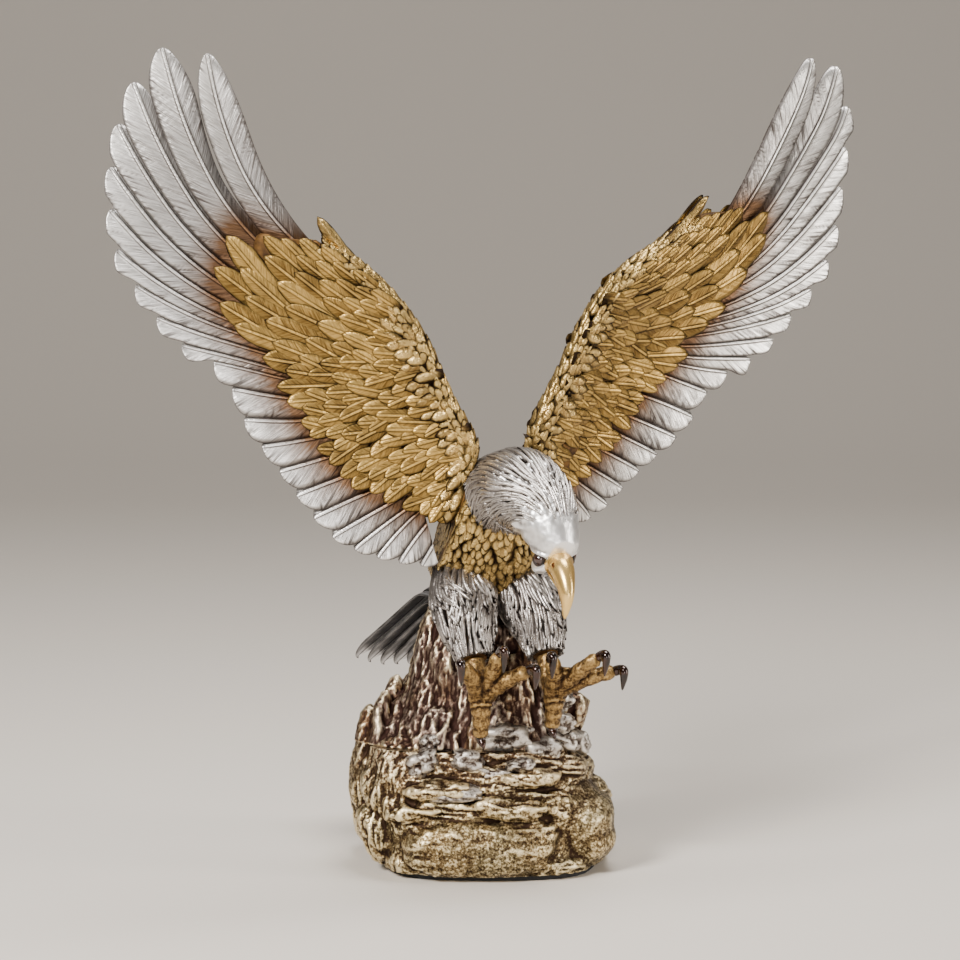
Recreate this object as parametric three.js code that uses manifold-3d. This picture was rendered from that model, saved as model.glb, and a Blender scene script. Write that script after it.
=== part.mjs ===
// A desk-top statuette of an eagle landing on a broken stump, wings raised and talons thrown forward.
// It is a set of separate castings: rock, stump, torso, head, beak, tail, two feet and two wings whose
// tenons push into sockets in the shoulders. A threaded rod draws torso, stump and rock together.
// Millimetres, +Z up, the front towards -Y, the origin at the middle of the underside.
import * as THREE from "three";
import { mergeVertices } from "three/addons/utils/BufferGeometryUtils.js";
import Module from "manifold-3d";

const wasm = await Module();
wasm.setup();

// ---- Driving dimensions ----
const GAP = 0.3; // left between pieces that touch
const PAD = { thick: 2, inset: 0.95 };
const PLATE = { thick: 3, ledge: 4 };
const ROCK_TOP = 50; // height of the joint between rock and stump
const STUMP_TOP = 103;
const CAVITY = { width: 56, depth: 48, roof: 34, taper: 0.82 };
const ROD = { radius: 2.5, intoBird: 25, washerRadius: 9, washerThick: 1.5, nutRadius: 5.2, nutThick: 5 };
const DOWEL = { radius: 1.5, length: 12 };
// Where the bird stands on the rock, how far it is turned in degrees, and the height in its own frame at which
// it sits on the stump.
const BIRD = { x: -2, y: 4, turn: 20, perch: 103 };
// Wings: lift is the slope of the wing's line, sweep how far it goes back, tilt how far its rear edge is turned
// back, all in degrees. The flat outlines are pairs of distance from the shoulder and distance behind that line:
// the leading edge from the hand in to the shoulder, and the feather tips from the first primary to the last one.
const WING = { camber: 5, tipBend: 14, arm: 8, blade: 3, bow: 9 };
const RIGHT_WING = {
  ...WING,
  side: -1,
  shoulder: [-13, -24, 166],
  lift: 53,
  sweep: 18,
  tilt: 0,
  leadingEdge: [[105, -4], [88, -10], [68, -13], [48, -12], [27, -7], [5, -3], [-6, 10]],
  featherTips: [
    [180, -19], [199, -5], [198, 13], [180, 39], [152, 59], [125, 63], [106, 63],
    [86, 55], [72, 60], [47, 62], [12, 62], [-8, 53], [-25, 38],
  ],
};
const LEFT_WING = {
  ...WING,
  side: 1,
  shoulder: [13, -24, 168],
  lift: 49,
  sweep: 12,
  tilt: 8,
  leadingEdge: [[122, 4], [99, -7], [74, -18], [52, -19], [30, -13], [6, -7], [-6, 8]],
  featherTips: [
    [208, 8], [223, 26], [213, 45], [194, 55], [160, 71], [122, 70], [100, 66],
    [80, 57], [57, 57], [28, 50], [3, 45], [-20, 34],
  ],
};
const TENON = { wide: 12, high: 8, long: 11, rise: 15 }; // rise: slope of the pull-off direction, degrees
const SEAT = { x: 15.5, y: -19, z: 154 };
const NECK = { seat: [0, -30, 154.5], lean: [0.15, -0.72, 0.68] };
const TAIL = {
  seat: [0, 15, 105],
  droop: 29,
  length: 74,
  rootWidth: 9,
  rootHeight: 7,
  endWidth: 27,
  feathers: 8,
  thick: 4,
};
const EYE = { radius: 2.6, apart: 13.4, middle: [9.6, -58.8, 130.6], turn: 12 };
const FEATHERS = 22; // flight feathers on each wing: ten on the hand, the rest on the forearm

// ---- Finishes ----
const finish = (color, roughness, metalness) => new THREE.MeshStandardMaterial({ color, roughness, metalness });
const SILVER = finish(0xb9b4ae, 0.35, 0.9);
const GOLD = finish(0xb08a45, 0.35, 0.9);
const STONE_GOLD = finish(0x8f7650, 0.5, 0.8);
const DARK_SILVER = finish(0x6e6a68, 0.4, 0.85);
const HORN_GOLD = finish(0xcaa869, 0.3, 0.85);
const GLASS_EYE = finish(0x3a1a0c, 0.08, 0);
const STEEL = finish(0x9a9a9c, 0.4, 1);
const FOAM = finish(0x1c1c1e, 0.95, 0);
const BOARD = finish(0x3a332c, 0.8, 0);

// ---- Shaping and joining ----
const radians = THREE.MathUtils.degToRad;
const vector = (p) => new THREE.Vector3(...p);

// Moves every vertex of a geometry through map, keeping the faces turned outwards.
function reshape(geometry, map) {
  const bare = geometry.clone().deleteAttribute("normal").deleteAttribute("uv");
  const merged = mergeVertices(bare, 1e-5);
  const place = merged.attributes.position;
  const v = new THREE.Vector3();
  for (let i = 0; i < place.count; i++) {
    v.fromBufferAttribute(place, i);
    const moved = map(v);
    place.setXYZ(i, moved.x, moved.y, moved.z);
  }
  if (signedVolume(merged) < 0) {
    merged.setIndex(Array.from(merged.index.array).reverse());
  }
  return merged;
}

function signedVolume(geometry) {
  const corner = [0, 1, 2].map(() => new THREE.Vector3());
  const index = geometry.index.array;
  let total = 0;
  for (let i = 0; i < index.length; i += 3) {
    corner.forEach((c, k) => c.fromBufferAttribute(geometry.attributes.position, index[i + k]));
    total += corner[0].dot(corner[1].clone().cross(corner[2]));
  }
  return total / 6;
}

function toSolid(geometry) {
  const plain = reshape(geometry, (v) => v);
  const triVerts = new Uint32Array(plain.index.array);
  return new wasm.Manifold(new wasm.Mesh({ numProp: 3, vertProperties: plain.attributes.position.array, triVerts }));
}

function toGeometry(solid) {
  const mesh = solid.getMesh();
  const geometry = new THREE.BufferGeometry();
  geometry.setAttribute("position", new THREE.BufferAttribute(mesh.vertProperties, 3));
  geometry.setIndex(new THREE.BufferAttribute(mesh.triVerts, 1));
  geometry.computeVertexNormals();
  return geometry;
}

const joined = (...geometries) => geometries.map(toSolid).reduce((a, b) => a.add(b));
const cutBy = (solid, ...geometries) => geometries.map(toSolid).reduce((a, b) => a.subtract(b), solid);

function piece(name, solidOrGeometry, material) {
  const isGeometry = solidOrGeometry.isBufferGeometry;
  const mesh = new THREE.Mesh(isGeometry ? solidOrGeometry : toGeometry(solidOrGeometry), material);
  mesh.name = name;
  return mesh;
}

// Reads a value between evenly spaced rows of numbers.
function sample(rows, t) {
  const at = THREE.MathUtils.clamp(t, 0, 1) * (rows.length - 1);
  const low = Math.min(Math.floor(at), rows.length - 2);
  return rows[low].map((value, i) => THREE.MathUtils.lerp(value, rows[low + 1][i], at - low));
}

// A closed limb along a path, with a half width and half height given at even steps along it.
function limb(path, radii, { around = 12, along = 8, sideways = [1, 0, 0] } = {}) {
  const curve = new THREE.CatmullRomCurve3(path.map(vector));
  const side = vector(sideways);
  return reshape(new THREE.CylinderGeometry(1, 1, 1, around, along), (v) => {
    const t = v.y + 0.5;
    const [wide, high] = sample(radii, t);
    const forward = curve.getTangentAt(t);
    const across = side.clone().addScaledVector(forward, -side.dot(forward)).normalize();
    const up = across.clone().cross(forward);
    return curve.getPointAt(t).addScaledVector(across, v.x * wide).addScaledVector(up, v.z * high);
  });
}

const ball = (centre, radius, around = 12, down = 8) =>
  new THREE.SphereGeometry(1, around, down).scale(...radius).translate(...centre);

const upright = (radius, low, high, x, y, around = 16) =>
  new THREE.CylinderGeometry(radius, radius, high - low, around).rotateX(Math.PI / 2).translate(x, y, (low + high) / 2);

// A cylinder along any direction, its middle at centre.
function round(radius, length, centre, direction, around = 12) {
  const turn = new THREE.Quaternion().setFromUnitVectors(new THREE.Vector3(0, 1, 0), direction.clone().normalize());
  return new THREE.CylinderGeometry(radius, radius, length, around).applyQuaternion(turn).translate(...centre);
}

// A large block whose face lies on a plane and whose body is on the side that normal points to.
function beyond(point, normal, offset = 0) {
  const size = 400;
  const n = normal.clone().normalize();
  const turn = new THREE.Quaternion().setFromUnitVectors(new THREE.Vector3(0, 0, 1), n);
  const centre = point.clone().addScaledVector(n, size / 2 + offset);
  return new THREE.BoxGeometry(size, size, size).applyQuaternion(turn).translate(...centre);
}

// ---- Rock and stump: rounded outlines stacked up the height, roughened by waves round and up ----
// Each row: height, middle x, middle y, half width, half depth.
const ROCK = [
  [PAD.thick + GAP, 2, 0, 45, 39],
  [9, 1, 0, 49.5, 41.5],
  [20, 0, 0, 51.5, 43],
  [30, -1.5, 0, 51, 42],
  [38, -6, 1, 47, 40],
  [ROCK_TOP - GAP, -7, 2, 45.5, 36],
];
const upStump = (share) => THREE.MathUtils.lerp(ROCK_TOP, STUMP_TOP, share);
const STUMP = [
  [upStump(0), -6, 4, 42, 32],
  [upStump(0.23), -3, 6, 37, 29],
  [upStump(0.42), -1, 8, 32, 26],
  [upStump(0.64), -1, 9, 28, 22],
  [upStump(0.85), -2, 10, 25, 19],
  [upStump(1), -3, 10, 20, 15],
];

function ringAt(rows, height) {
  const above = Math.max(1, rows.findIndex((row) => row[0] >= height - 1e-6));
  const [low, high] = [rows[above - 1], rows[above]];
  const t = (height - low[0]) / (high[0] - low[0]);
  return low.map((value, i) => THREE.MathUtils.lerp(value, high[i], t));
}

const waves = (angle, height, depth) =>
  depth *
  (0.5 * Math.sin(3 * angle + height * 0.09) +
    0.3 * Math.sin(5 * angle - height * 0.16 + 1) +
    0.3 * Math.sin(9 * angle + height * 0.3 + 2));

// Rounded outlines: a superellipse of the third power, squarer than an oval.
function ringPoint([height, midX, midY, halfWidth, halfDepth], angle, share, roughness) {
  const [c, s] = [Math.cos(angle), Math.sin(angle)];
  const square = 1 / Math.cbrt(Math.abs(c) ** 3 + Math.abs(s) ** 3);
  const reach = share * (1 + waves(angle, height, roughness));
  return new THREE.Vector3(midX + halfWidth * square * reach * c, midY + halfDepth * square * reach * s, height);
}

function stack(rows, roughness, around, along) {
  const [bottom, top] = [rows[0][0], rows.at(-1)[0]];
  return reshape(new THREE.CylinderGeometry(1, 1, 1, around, along), (v) => {
    const height = THREE.MathUtils.lerp(bottom, top, v.y + 0.5);
    return ringPoint(ringAt(rows, height), Math.atan2(-v.z, v.x), Math.hypot(v.x, v.z), roughness);
  });
}

// ---- Places fixed by the bird's stance ----
const birdTurn = radians(BIRD.turn);
const birdLift = STUMP_TOP - BIRD.perch;
const toWorld = ([x, y, z]) => [
  BIRD.x + x * Math.cos(birdTurn) - y * Math.sin(birdTurn),
  BIRD.y + x * Math.sin(birdTurn) + y * Math.cos(birdTurn),
  birdLift + z,
];
const intoBirdFrame = (geometry) => geometry.translate(-BIRD.x, -BIRD.y, -birdLift).rotateZ(-birdTurn);
const ROD_BIRD = [0, 4]; // the rod's place in the bird's own frame
const [rodX, rodY] = toWorld([...ROD_BIRD, 0]);
const plateTop = PAD.thick + GAP + PLATE.thick;
const rodHole = (low, high) => upright(ROD.radius + GAP, low, high, rodX, rodY);

function basePad() {
  const outline = ROCK[0];
  return reshape(new THREE.CylinderGeometry(1, 1, PAD.thick, 40), (v) => {
    const p = ringPoint(outline, Math.atan2(-v.z, v.x), PAD.inset * Math.hypot(v.x, v.z), 0.02);
    return p.setZ(v.y + PAD.thick / 2);
  });
}

const oval = (width, depth, low, high, taper = 1) =>
  new THREE.CylinderGeometry(taper, 1, high - low, 36)
    .rotateX(Math.PI / 2)
    .scale(width / 2, depth / 2, 1)
    .translate(ROCK[0][1], ROCK[0][2], (low + high) / 2);

function rock() {
  const floor = PAD.thick + GAP;
  const seat = oval(CAVITY.width + 2 * PLATE.ledge, CAVITY.depth + 2 * PLATE.ledge, floor - 1, plateTop + GAP);
  const hollow = oval(CAVITY.width, CAVITY.depth, floor - 1, CAVITY.roof, CAVITY.taper);
  return cutBy(toSolid(stack(ROCK, 0.05, 40, 9)), seat, hollow, rodHole(0, ROCK_TOP + 5));
}

const basePlate = () =>
  oval(
    CAVITY.width + 2 * (PLATE.ledge - GAP),
    CAVITY.depth + 2 * (PLATE.ledge - GAP),
    PAD.thick + GAP,
    plateTop,
  );

function stump() {
  const splinterFoot = [-41, 6, ROCK_TOP];
  const splinter = limb(
    [splinterFoot, [-41, 6, ROCK_TOP + 12], [-38, 7, ROCK_TOP + 24]],
    [[10, 14], [9, 12], [5, 6]],
    { around: 10, along: 4, sideways: [1, 0, 0] },
  );
  const below = beyond(new THREE.Vector3(0, 0, ROCK_TOP), new THREE.Vector3(0, 0, -1));
  const underTail = beyond(tailSeat.clone().addScaledVector(tailUp, -TAIL.rootHeight), tailUp, -GAP);
  underTail.rotateZ(birdTurn).translate(BIRD.x, BIRD.y, birdLift);
  return cutBy(joined(stack(STUMP, 0.08, 30, 8), splinter), below, underTail, rodHole(ROCK_TOP - 5, STUMP_TOP + 5));
}

// ---- Wings ----
// A wing is laid out flat first: "along" runs from shoulder to tip, "across" from the leading edge back.
const flat = (points) => new THREE.SplineCurve(points.map((p) => new THREE.Vector2(...p)));

// Roots crowd together at the hand, and tips spread out there.
const rootShare = (u) => u ** 1.9;
const tipShare = (u) => 1.4 * u - 0.4 * u * u;
const notchDepth = (u) => THREE.MathUtils.lerp(20, 4, Math.min(1, u / 0.5));

// A point of the flat wing: u counts feathers from the first primary to the shoulder, v goes root to tip.
function wingLayout({ leadingEdge, featherTips, bow }, u, v) {
  const root = leadingEdge.getPointAt(rootShare(u));
  const tip = featherTips.getPointAt(tipShare(u));
  const inFeather = 2 * ((u * FEATHERS) % 1) - 1;
  const reach = tip.clone().sub(root);
  const short = notchDepth(u) * inFeather ** 2;
  const point = root.clone().addScaledVector(reach, v * (1 - short / reach.length()));
  return point.add(new THREE.Vector2(0, bow * (1 - u) ** 4 * 4 * v * (1 - v)));
}

function wingFrame(wing) {
  const [lift, sweep, tilt] = [wing.lift, wing.sweep, wing.tilt].map(radians);
  const out = new THREE.Vector3(wing.side * Math.cos(sweep), Math.sin(sweep), 0);
  const up = new THREE.Vector3(0, 0, 1);
  const level = new THREE.Vector3(wing.side * Math.sin(sweep), -Math.cos(sweep), 0);
  const down = out.clone().multiplyScalar(Math.sin(lift)).addScaledVector(up, -Math.cos(lift));
  return {
    shoulder: vector(wing.shoulder),
    along: out.clone().multiplyScalar(Math.cos(lift)).addScaledVector(up, Math.sin(lift)),
    across: down.clone().multiplyScalar(Math.cos(tilt)).addScaledVector(level, -Math.sin(tilt)),
    front: level.clone().multiplyScalar(Math.cos(tilt)).addScaledVector(down, Math.sin(tilt)),
  };
}

// Bends the flat wing: cupped across its width, and the tips bent back.
function wingPoint(wing, frame, along, across, height) {
  const cup = wing.camber * ((across - 30) / 40) ** 2 - wing.tipBend * (Math.max(along, 0) / 200) ** 2;
  return frame.shoulder
    .clone()
    .addScaledVector(frame.along, along)
    .addScaledVector(frame.across, across)
    .addScaledVector(frame.front, cup + height);
}

const pullDirection = (side) => {
  const rise = radians(TENON.rise);
  return new THREE.Vector3(side * Math.cos(rise), 0.15, Math.sin(rise)).normalize();
};
const seatPoint = (side) => new THREE.Vector3(side * SEAT.x, SEAT.y, SEAT.z);

// The tenon, or with a clearance the socket that it goes into.
function tenonBlock(side, clearance) {
  const out = pullDirection(side);
  const turn = new THREE.Quaternion().setFromUnitVectors(new THREE.Vector3(1, 0, 0), out);
  const reachIn = TENON.long + clearance;
  const reachOut = clearance ? 5 : 8;
  return new THREE.BoxGeometry(reachIn + reachOut, TENON.wide + 2 * clearance, TENON.high + 2 * clearance)
    .applyQuaternion(turn)
    .translate(...seatPoint(side).addScaledVector(out, (reachOut - reachIn) / 2));
}

function wingSolid(wing) {
  const frame = wingFrame(wing);
  const outline = { ...wing, leadingEdge: flat(wing.leadingEdge), featherTips: flat(wing.featherTips) };
  const columns = FEATHERS * 4;
  const blade = reshape(new THREE.BoxGeometry(1, 1, 1, columns, 5, 1), (p) => {
    const [u, v, face] = [p.x + 0.5, p.y + 0.5, 2 * p.z];
    const flatPoint = wingLayout(outline, Math.min(u, 0.9999), v);
    const overlap = 1.4 * v * (0.5 - ((Math.min(u, 0.9999) * FEATHERS) % 1));
    const thick = wing.blade + (wing.arm - wing.blade) * Math.exp(-((v / 0.35) ** 2));
    return wingPoint(wing, frame, flatPoint.x, flatPoint.y, overlap + (face * thick) / 2);
  });
  const boss = limb(
    [[-6, 14], [6, 11], [22, 6], [40, 2]].map(([a, b]) => wingPoint(wing, frame, a, b, 0).toArray()),
    [[11, 9], [12, 9], [9, 7], [4, 3.5]],
    { around: 12, along: 6, sideways: frame.across.toArray() },
  );
  const inner = beyond(seatPoint(wing.side), pullDirection(wing.side).negate(), -GAP);
  return cutBy(joined(blade, boss), inner).add(toSolid(tenonBlock(wing.side, 0)));
}

// ---- The bird's body, in its own frame: it faces -Y and its left side is +X ----
const neckSeat = vector(NECK.seat);
const neckLean = vector(NECK.lean).normalize();
const tailSeat = vector(TAIL.seat);
const tailBack = new THREE.Vector3(0, Math.cos(radians(TAIL.droop)), -Math.sin(radians(TAIL.droop)));
const tailUp = new THREE.Vector3(1, 0, 0).cross(tailBack);
const ankle = (side) => [side * 15, -35, 88];

const shoulderPlanes = (clearance) =>
  [-1, 1].map((side) => beyond(seatPoint(side), pullDirection(side), -clearance));

function torso() {
  const trunk = limb(
    [[0, 16, 104], [0, 8, 112], [0, -8, 128], [0, -20, 144], [0, -28, 157], [0, -31, 165]],
    [[8, 7], [18, 13], [24, 20], [24, 20], [20, 16], [12, 9]],
    { around: 24, along: 12 },
  );
  const thighs = [-1, 1].map((side) =>
    limb(
      [[side * 11, -10, 120], [side * 14, -20, 108], [side * 15, -29, 97], ankle(side)],
      [[11, 11], [12, 12], [9.5, 10], [5, 5]],
      { around: 12, along: 6, sideways: [1, 0, 0] },
    ),
  );
  const footing = beyond(new THREE.Vector3(0, 0, BIRD.perch + GAP), new THREE.Vector3(0, 0, -1));
  const body = cutBy(toSolid(trunk), footing);
  return cutBy(
    thighs.map(toSolid).reduce((a, b) => a.add(b), body),
    intoBirdFrame(stack(STUMP.map(([z, x, y, wide, deep]) => [z + GAP, x, y, wide + 2 * GAP, deep + 2 * GAP]), 0.08, 30, 8)),
    beyond(neckSeat, neckLean),
    beyond(tailSeat, tailBack),
    ...shoulderPlanes(0),
    tenonBlock(-1, GAP),
    tenonBlock(1, GAP),
    upright(ROD.radius + GAP, BIRD.perch - 5, BIRD.perch + ROD.intoBird + GAP, ...ROD_BIRD),
    dowelHole(neckSeat, neckLean),
    dowelHole(tailSeat, tailBack),
    ...[-1, 1].map((side) => dowelHole(vector(ankle(side)), ankleLine)),
  );
}

// The shanks leave the thighs down and forward.
const ankleLine = new THREE.Vector3(0, -0.5, -0.87).normalize();
const dowelAt = (point, line, spare) =>
  round(DOWEL.radius + spare, DOWEL.length + 2 * spare, point.clone().addScaledVector(line, GAP / 2), line, 10);
const dowelHole = (point, line) => dowelAt(point, line, GAP);
const dowel = (point, line) => dowelAt(point, line, 0);

const BEAK_SEAT = vector([9.4, -64, 129]);
const BEAK_LINE = new THREE.Vector3(0, -0.85, -0.53).normalize();
const EYE_ACROSS = new THREE.Vector3(Math.cos(radians(EYE.turn)), Math.sin(radians(EYE.turn)), 0);
const eyeCentre = (side) => vector(EYE.middle).addScaledVector(EYE_ACROSS, (side * EYE.apart) / 2);

function head() {
  const shape = limb(
    [[-0.5, -27, 151], [3, -38, 155], [7, -49, 149.5], [9, -58, 140], [9.8, -65, 130]],
    [[16.5, 16], [17.5, 16], [15, 14], [12.2, 12], [7, 8]],
    { around: 20, along: 10 },
  );
  return cutBy(
    toSolid(shape),
    beyond(neckSeat, neckLean.clone().negate(), -GAP),
    beyond(BEAK_SEAT, BEAK_LINE),
    ...shoulderPlanes(0),
    tenonBlock(-1, GAP),
    tenonBlock(1, GAP),
    dowelHole(neckSeat, neckLean),
    ...[-1, 1].map((side) => ball(eyeCentre(side), [1, 1, 1].map((s) => s * (EYE.radius + GAP)), 10, 8)),
  );
}

function beak() {
  const shape = limb(
    [[9.4, -61, 131], [9.2, -70, 126], [8.8, -75.5, 117.5], [8.4, -74.5, 109]],
    [[6, 7.5], [5, 6.5], [3.2, 4.5], [0.7, 0.8]],
    { around: 10, along: 7 },
  );
  return cutBy(toSolid(shape), beyond(BEAK_SEAT, BEAK_LINE.clone().negate(), -GAP));
}

const eye = (side) => ball(eyeCentre(side), [1, 1, 1].map((s) => s * EYE.radius), 10, 8);

function tail() {
  const side = new THREE.Vector3(1, 0, 0);
  const fan = reshape(new THREE.BoxGeometry(1, 1, 1, TAIL.feathers * 4, 4, 1), (p) => {
    const [u, v, face] = [2 * p.x, p.y + 0.5, 2 * p.z];
    const inFeather = 2 * (((p.x + 0.4999) * TAIL.feathers) % 1) - 1;
    const half = THREE.MathUtils.lerp(TAIL.rootWidth, TAIL.endWidth, v ** 1.2);
    const reach = (TAIL.length - 6 * u ** 2 - 3 * inFeather ** 2) * v;
    const rise = 4 * u ** 2 * v + (face * TAIL.thick * (1.5 - v)) / 2;
    return tailSeat.clone().addScaledVector(side, u * half).addScaledVector(tailBack, reach).addScaledVector(tailUp, rise);
  });
  const root = limb(
    [-6, 6, 22].map((reach) => tailSeat.clone().addScaledVector(tailBack, reach).toArray()),
    [[11, TAIL.rootHeight], [11, TAIL.rootHeight - 1], [6, 2.5]],
    { around: 12, along: 4 },
  );
  const inside = beyond(tailSeat, tailBack.clone().negate(), -GAP);
  return cutBy(joined(fan, root), inside, dowelHole(tailSeat, tailBack));
}

// ---- Feet: a palm, three toes and a hind toe, each ending in a hooked claw ----
// Toe ends are given from the palm, in the bird's frame.
const FEET = {
  right_foot: { side: -1, toes: [[3, -14, 19], [14.5, -16, 12], [-11.5, -9, 14], [0.7, 2, -17]] },
  left_foot: { side: 1, toes: [[-6, -11, 15], [12, -18, 16], [21, -13, 9], [-0.3, 2, -15]] },
};
const PALM = { x: 15.5, y: -43, z: 75, radius: 5 };

function foot({ side, toes }) {
  const palm = new THREE.Vector3(side * PALM.x, PALM.y, PALM.z);
  const start = vector(ankle(side)).addScaledVector(ankleLine, GAP);
  const shank = limb([start.toArray(), palm.toArray()], [[3.6, 3.6], [4.6, 4.4]], { around: 8, along: 2 });
  const parts = [ball(palm.toArray(), [PALM.radius, PALM.radius * 0.8, PALM.radius], 10, 6), shank];
  for (const toe of toes) {
    const reach = vector(toe);
    const isHind = toe[2] < 0;
    const arch = new THREE.Vector3(0, isHind ? -1 : -2.5, isHind ? 0 : 1.5);
    const end = palm.clone().add(reach);
    const middle = palm.clone().addScaledVector(reach, 0.55).add(arch);
    const outward = reach.clone().normalize();
    const hookOut = end.clone().addScaledVector(outward, 2).add(new THREE.Vector3(0, -3.4, -0.8));
    const hookTip = end.clone().add(new THREE.Vector3(outward.x * 1.6, -3.2, isHind ? -4 : -7.5));
    const pad = limb([palm, middle, end].map((p) => p.toArray()), [[3.9, 3.6], [3, 2.8], [2.5, 2.4]], {
      around: 8,
      along: 3,
      sideways: [0.9, 0.1, 0.3],
    });
    const claw = limb([end, hookOut, hookTip].map((p) => p.toArray()), [[2.1, 2.1], [1.6, 1.7], [0.35, 0.4]], {
      around: 6,
      along: 4,
      sideways: [0.9, 0.1, 0.3],
    });
    parts.push(pad, claw);
  }
  const aboveAnkle = beyond(vector(ankle(side)), ankleLine.clone().negate(), -GAP);
  return cutBy(joined(...parts), aboveAnkle, dowelHole(vector(ankle(side)), ankleLine));
}

// ---- The assembly ----
const nutTop = CAVITY.roof - GAP - ROD.washerThick - GAP;
const rodTop = STUMP_TOP + ROD.intoBird;
const statuette = new THREE.Group();
statuette.add(
  piece("base_pad", basePad(), FOAM),
  piece("base_plate", basePlate(), BOARD),
  piece("rock_base", rock(), STONE_GOLD),
  piece("tree_stump", stump(), STONE_GOLD),
);

const hex = new THREE.CylinderGeometry(ROD.nutRadius, ROD.nutRadius, ROD.nutThick, 6).rotateX(Math.PI / 2);
hex.translate(rodX, rodY, nutTop - ROD.nutThick / 2);
const washerTop = CAVITY.roof - GAP;
const washer = upright(ROD.washerRadius, washerTop - ROD.washerThick, washerTop, rodX, rodY, 24);
statuette.add(
  piece("armature_rod", upright(ROD.radius, nutTop - ROD.nutThick - 3, rodTop, rodX, rodY), STEEL),
  piece("rod_washer", cutBy(toSolid(washer), rodHole(0, ROCK_TOP)), STEEL),
  piece("rod_nut", cutBy(toSolid(hex), rodHole(0, ROCK_TOP)), STEEL),
);

const bird = new THREE.Group();
bird.position.set(BIRD.x, BIRD.y, birdLift);
bird.rotation.z = birdTurn;
bird.add(
  piece("torso", torso(), GOLD),
  piece("head", head(), SILVER),
  piece("beak", beak(), HORN_GOLD),
  piece("eye_right", eye(-1), GLASS_EYE),
  piece("eye_left", eye(1), GLASS_EYE),
  piece("tail", tail(), DARK_SILVER),
  piece("right_wing", wingSolid(RIGHT_WING), SILVER),
  piece("left_wing", wingSolid(LEFT_WING), SILVER),
  piece("neck_dowel", dowel(neckSeat, neckLean), STEEL),
  piece("tail_dowel", dowel(tailSeat, tailBack), STEEL),
);
for (const [name, made] of Object.entries(FEET)) {
  bird.add(piece(name, foot(made), GOLD));
  bird.add(piece(name + "_dowel", dowel(vector(ankle(made.side)), ankleLine), STEEL));
}
statuette.add(bird);

export default statuette;
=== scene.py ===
import math
import random

import bpy
import numpy as np
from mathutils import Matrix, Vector, noise


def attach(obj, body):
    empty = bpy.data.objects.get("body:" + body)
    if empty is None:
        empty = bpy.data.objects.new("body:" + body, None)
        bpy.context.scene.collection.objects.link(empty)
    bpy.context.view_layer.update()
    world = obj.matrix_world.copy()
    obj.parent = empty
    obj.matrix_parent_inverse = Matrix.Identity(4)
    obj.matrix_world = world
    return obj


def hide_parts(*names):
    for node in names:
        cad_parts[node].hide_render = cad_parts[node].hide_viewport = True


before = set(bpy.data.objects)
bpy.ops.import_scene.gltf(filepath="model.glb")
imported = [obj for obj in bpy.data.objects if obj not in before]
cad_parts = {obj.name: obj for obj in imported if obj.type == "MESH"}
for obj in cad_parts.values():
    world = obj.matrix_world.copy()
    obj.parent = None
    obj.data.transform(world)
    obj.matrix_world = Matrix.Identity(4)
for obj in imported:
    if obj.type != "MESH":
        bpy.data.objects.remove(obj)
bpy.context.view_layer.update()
bpy.ops.object.select_all(action="DESELECT")
random.seed(7)

MM = 0.001
RIGHT, LEFT = -1, 1  # the bird's own sides: its right wing is on the viewer's left
SIDES = {RIGHT: "right", LEFT: "left"}

# ---------------------------------------------------------------- sizes, in mm
GAP = 0.3
BIRD_X, BIRD_Y, BIRD_TURN = -2.0, 4.0, math.radians(20)
PAD_TOP, ROCK_TOP, STUMP_TOP = 2.0, 50.0, 103.0
PLATE_TOP, HOLLOW_ROOF, ROD_RADIUS = 5.3, 34.0, 2.5
DOWEL_RADIUS, DOWEL_LENGTH = 1.5, 12.0
BODY = "stand_and_body"
FEATHERS = 22  # flight feathers on a wing, ten of them on the hand
HAND = 10
# Each wing is drawn flat, as (s out from the shoulder, c back across the feathers). lift, sweep and tilt
# are in degrees. leading is the front edge from wrist to body, tips the ends of the flight feathers, thumb
# the ends of the stepped feathers at the wrist, gold the outer edge of the gold; lean is (s, the feathers'
# angle in degrees).
WINGS = {
    RIGHT: dict(
        name="right_wing", shoulder=(-13, -24, 166), lift=53, sweep=18, tilt=0,
        leading=[(105, -4), (88, -10), (68, -13), (48, -12), (27, -7), (5, -3), (-6, 10)],
        tips=[(180, -19), (199, -5), (198, 13), (180, 39), (152, 59), (125, 63), (106, 63),
              (86, 55), (72, 60), (47, 62), (12, 62), (-8, 53), (-25, 38)],
        thumb=[(112, -11), (101, -11), (89, -12), (77, -14), (65, -16)],
        lean=[(-18, 112), (-6, 100), (0, 88), (8, 79), (20, 73), (34, 69), (47, 60), (60, 46), (75, 36),
              (95, 32), (120, 16), (150, -1), (185, -9), (200, -8)],
        gold=[(107, -1), (120, 11), (129, 18), (126, 26), (117, 38), (109, 42), (95, 42), (82, 41), (67, 43),
              (53, 44), (39, 45), (23, 44), (9, 38), (-2, 31), (-12, 26)],
    ),
    LEFT: dict(
        name="left_wing", shoulder=(13, -24, 168), lift=49, sweep=12, tilt=8,
        leading=[(122, 4), (99, -7), (74, -18), (52, -19), (30, -13), (6, -7), (-6, 8)],
        tips=[(208, 8), (223, 26), (213, 45), (194, 55), (160, 71), (122, 70), (100, 66),
              (80, 57), (57, 57), (28, 50), (3, 45), (-20, 34)],
        thumb=[(131, -1), (117, -3), (102, -8), (86, -14), (71, -19)],
        lean=[(-10, 105), (0, 92), (7, 81), (20, 75), (35, 73), (50, 68), (67, 68), (85, 48), (100, 38),
              (120, 25), (140, 10), (160, 2), (195, -2), (210, -12)],
        gold=[(125, 5), (138, 17), (149, 31), (140, 38), (127, 39), (116, 41), (100, 39), (82, 36), (66, 35),
              (50, 32), (35, 32), (18, 30), (4, 27), (-8, 22)],
    ),
}
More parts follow.
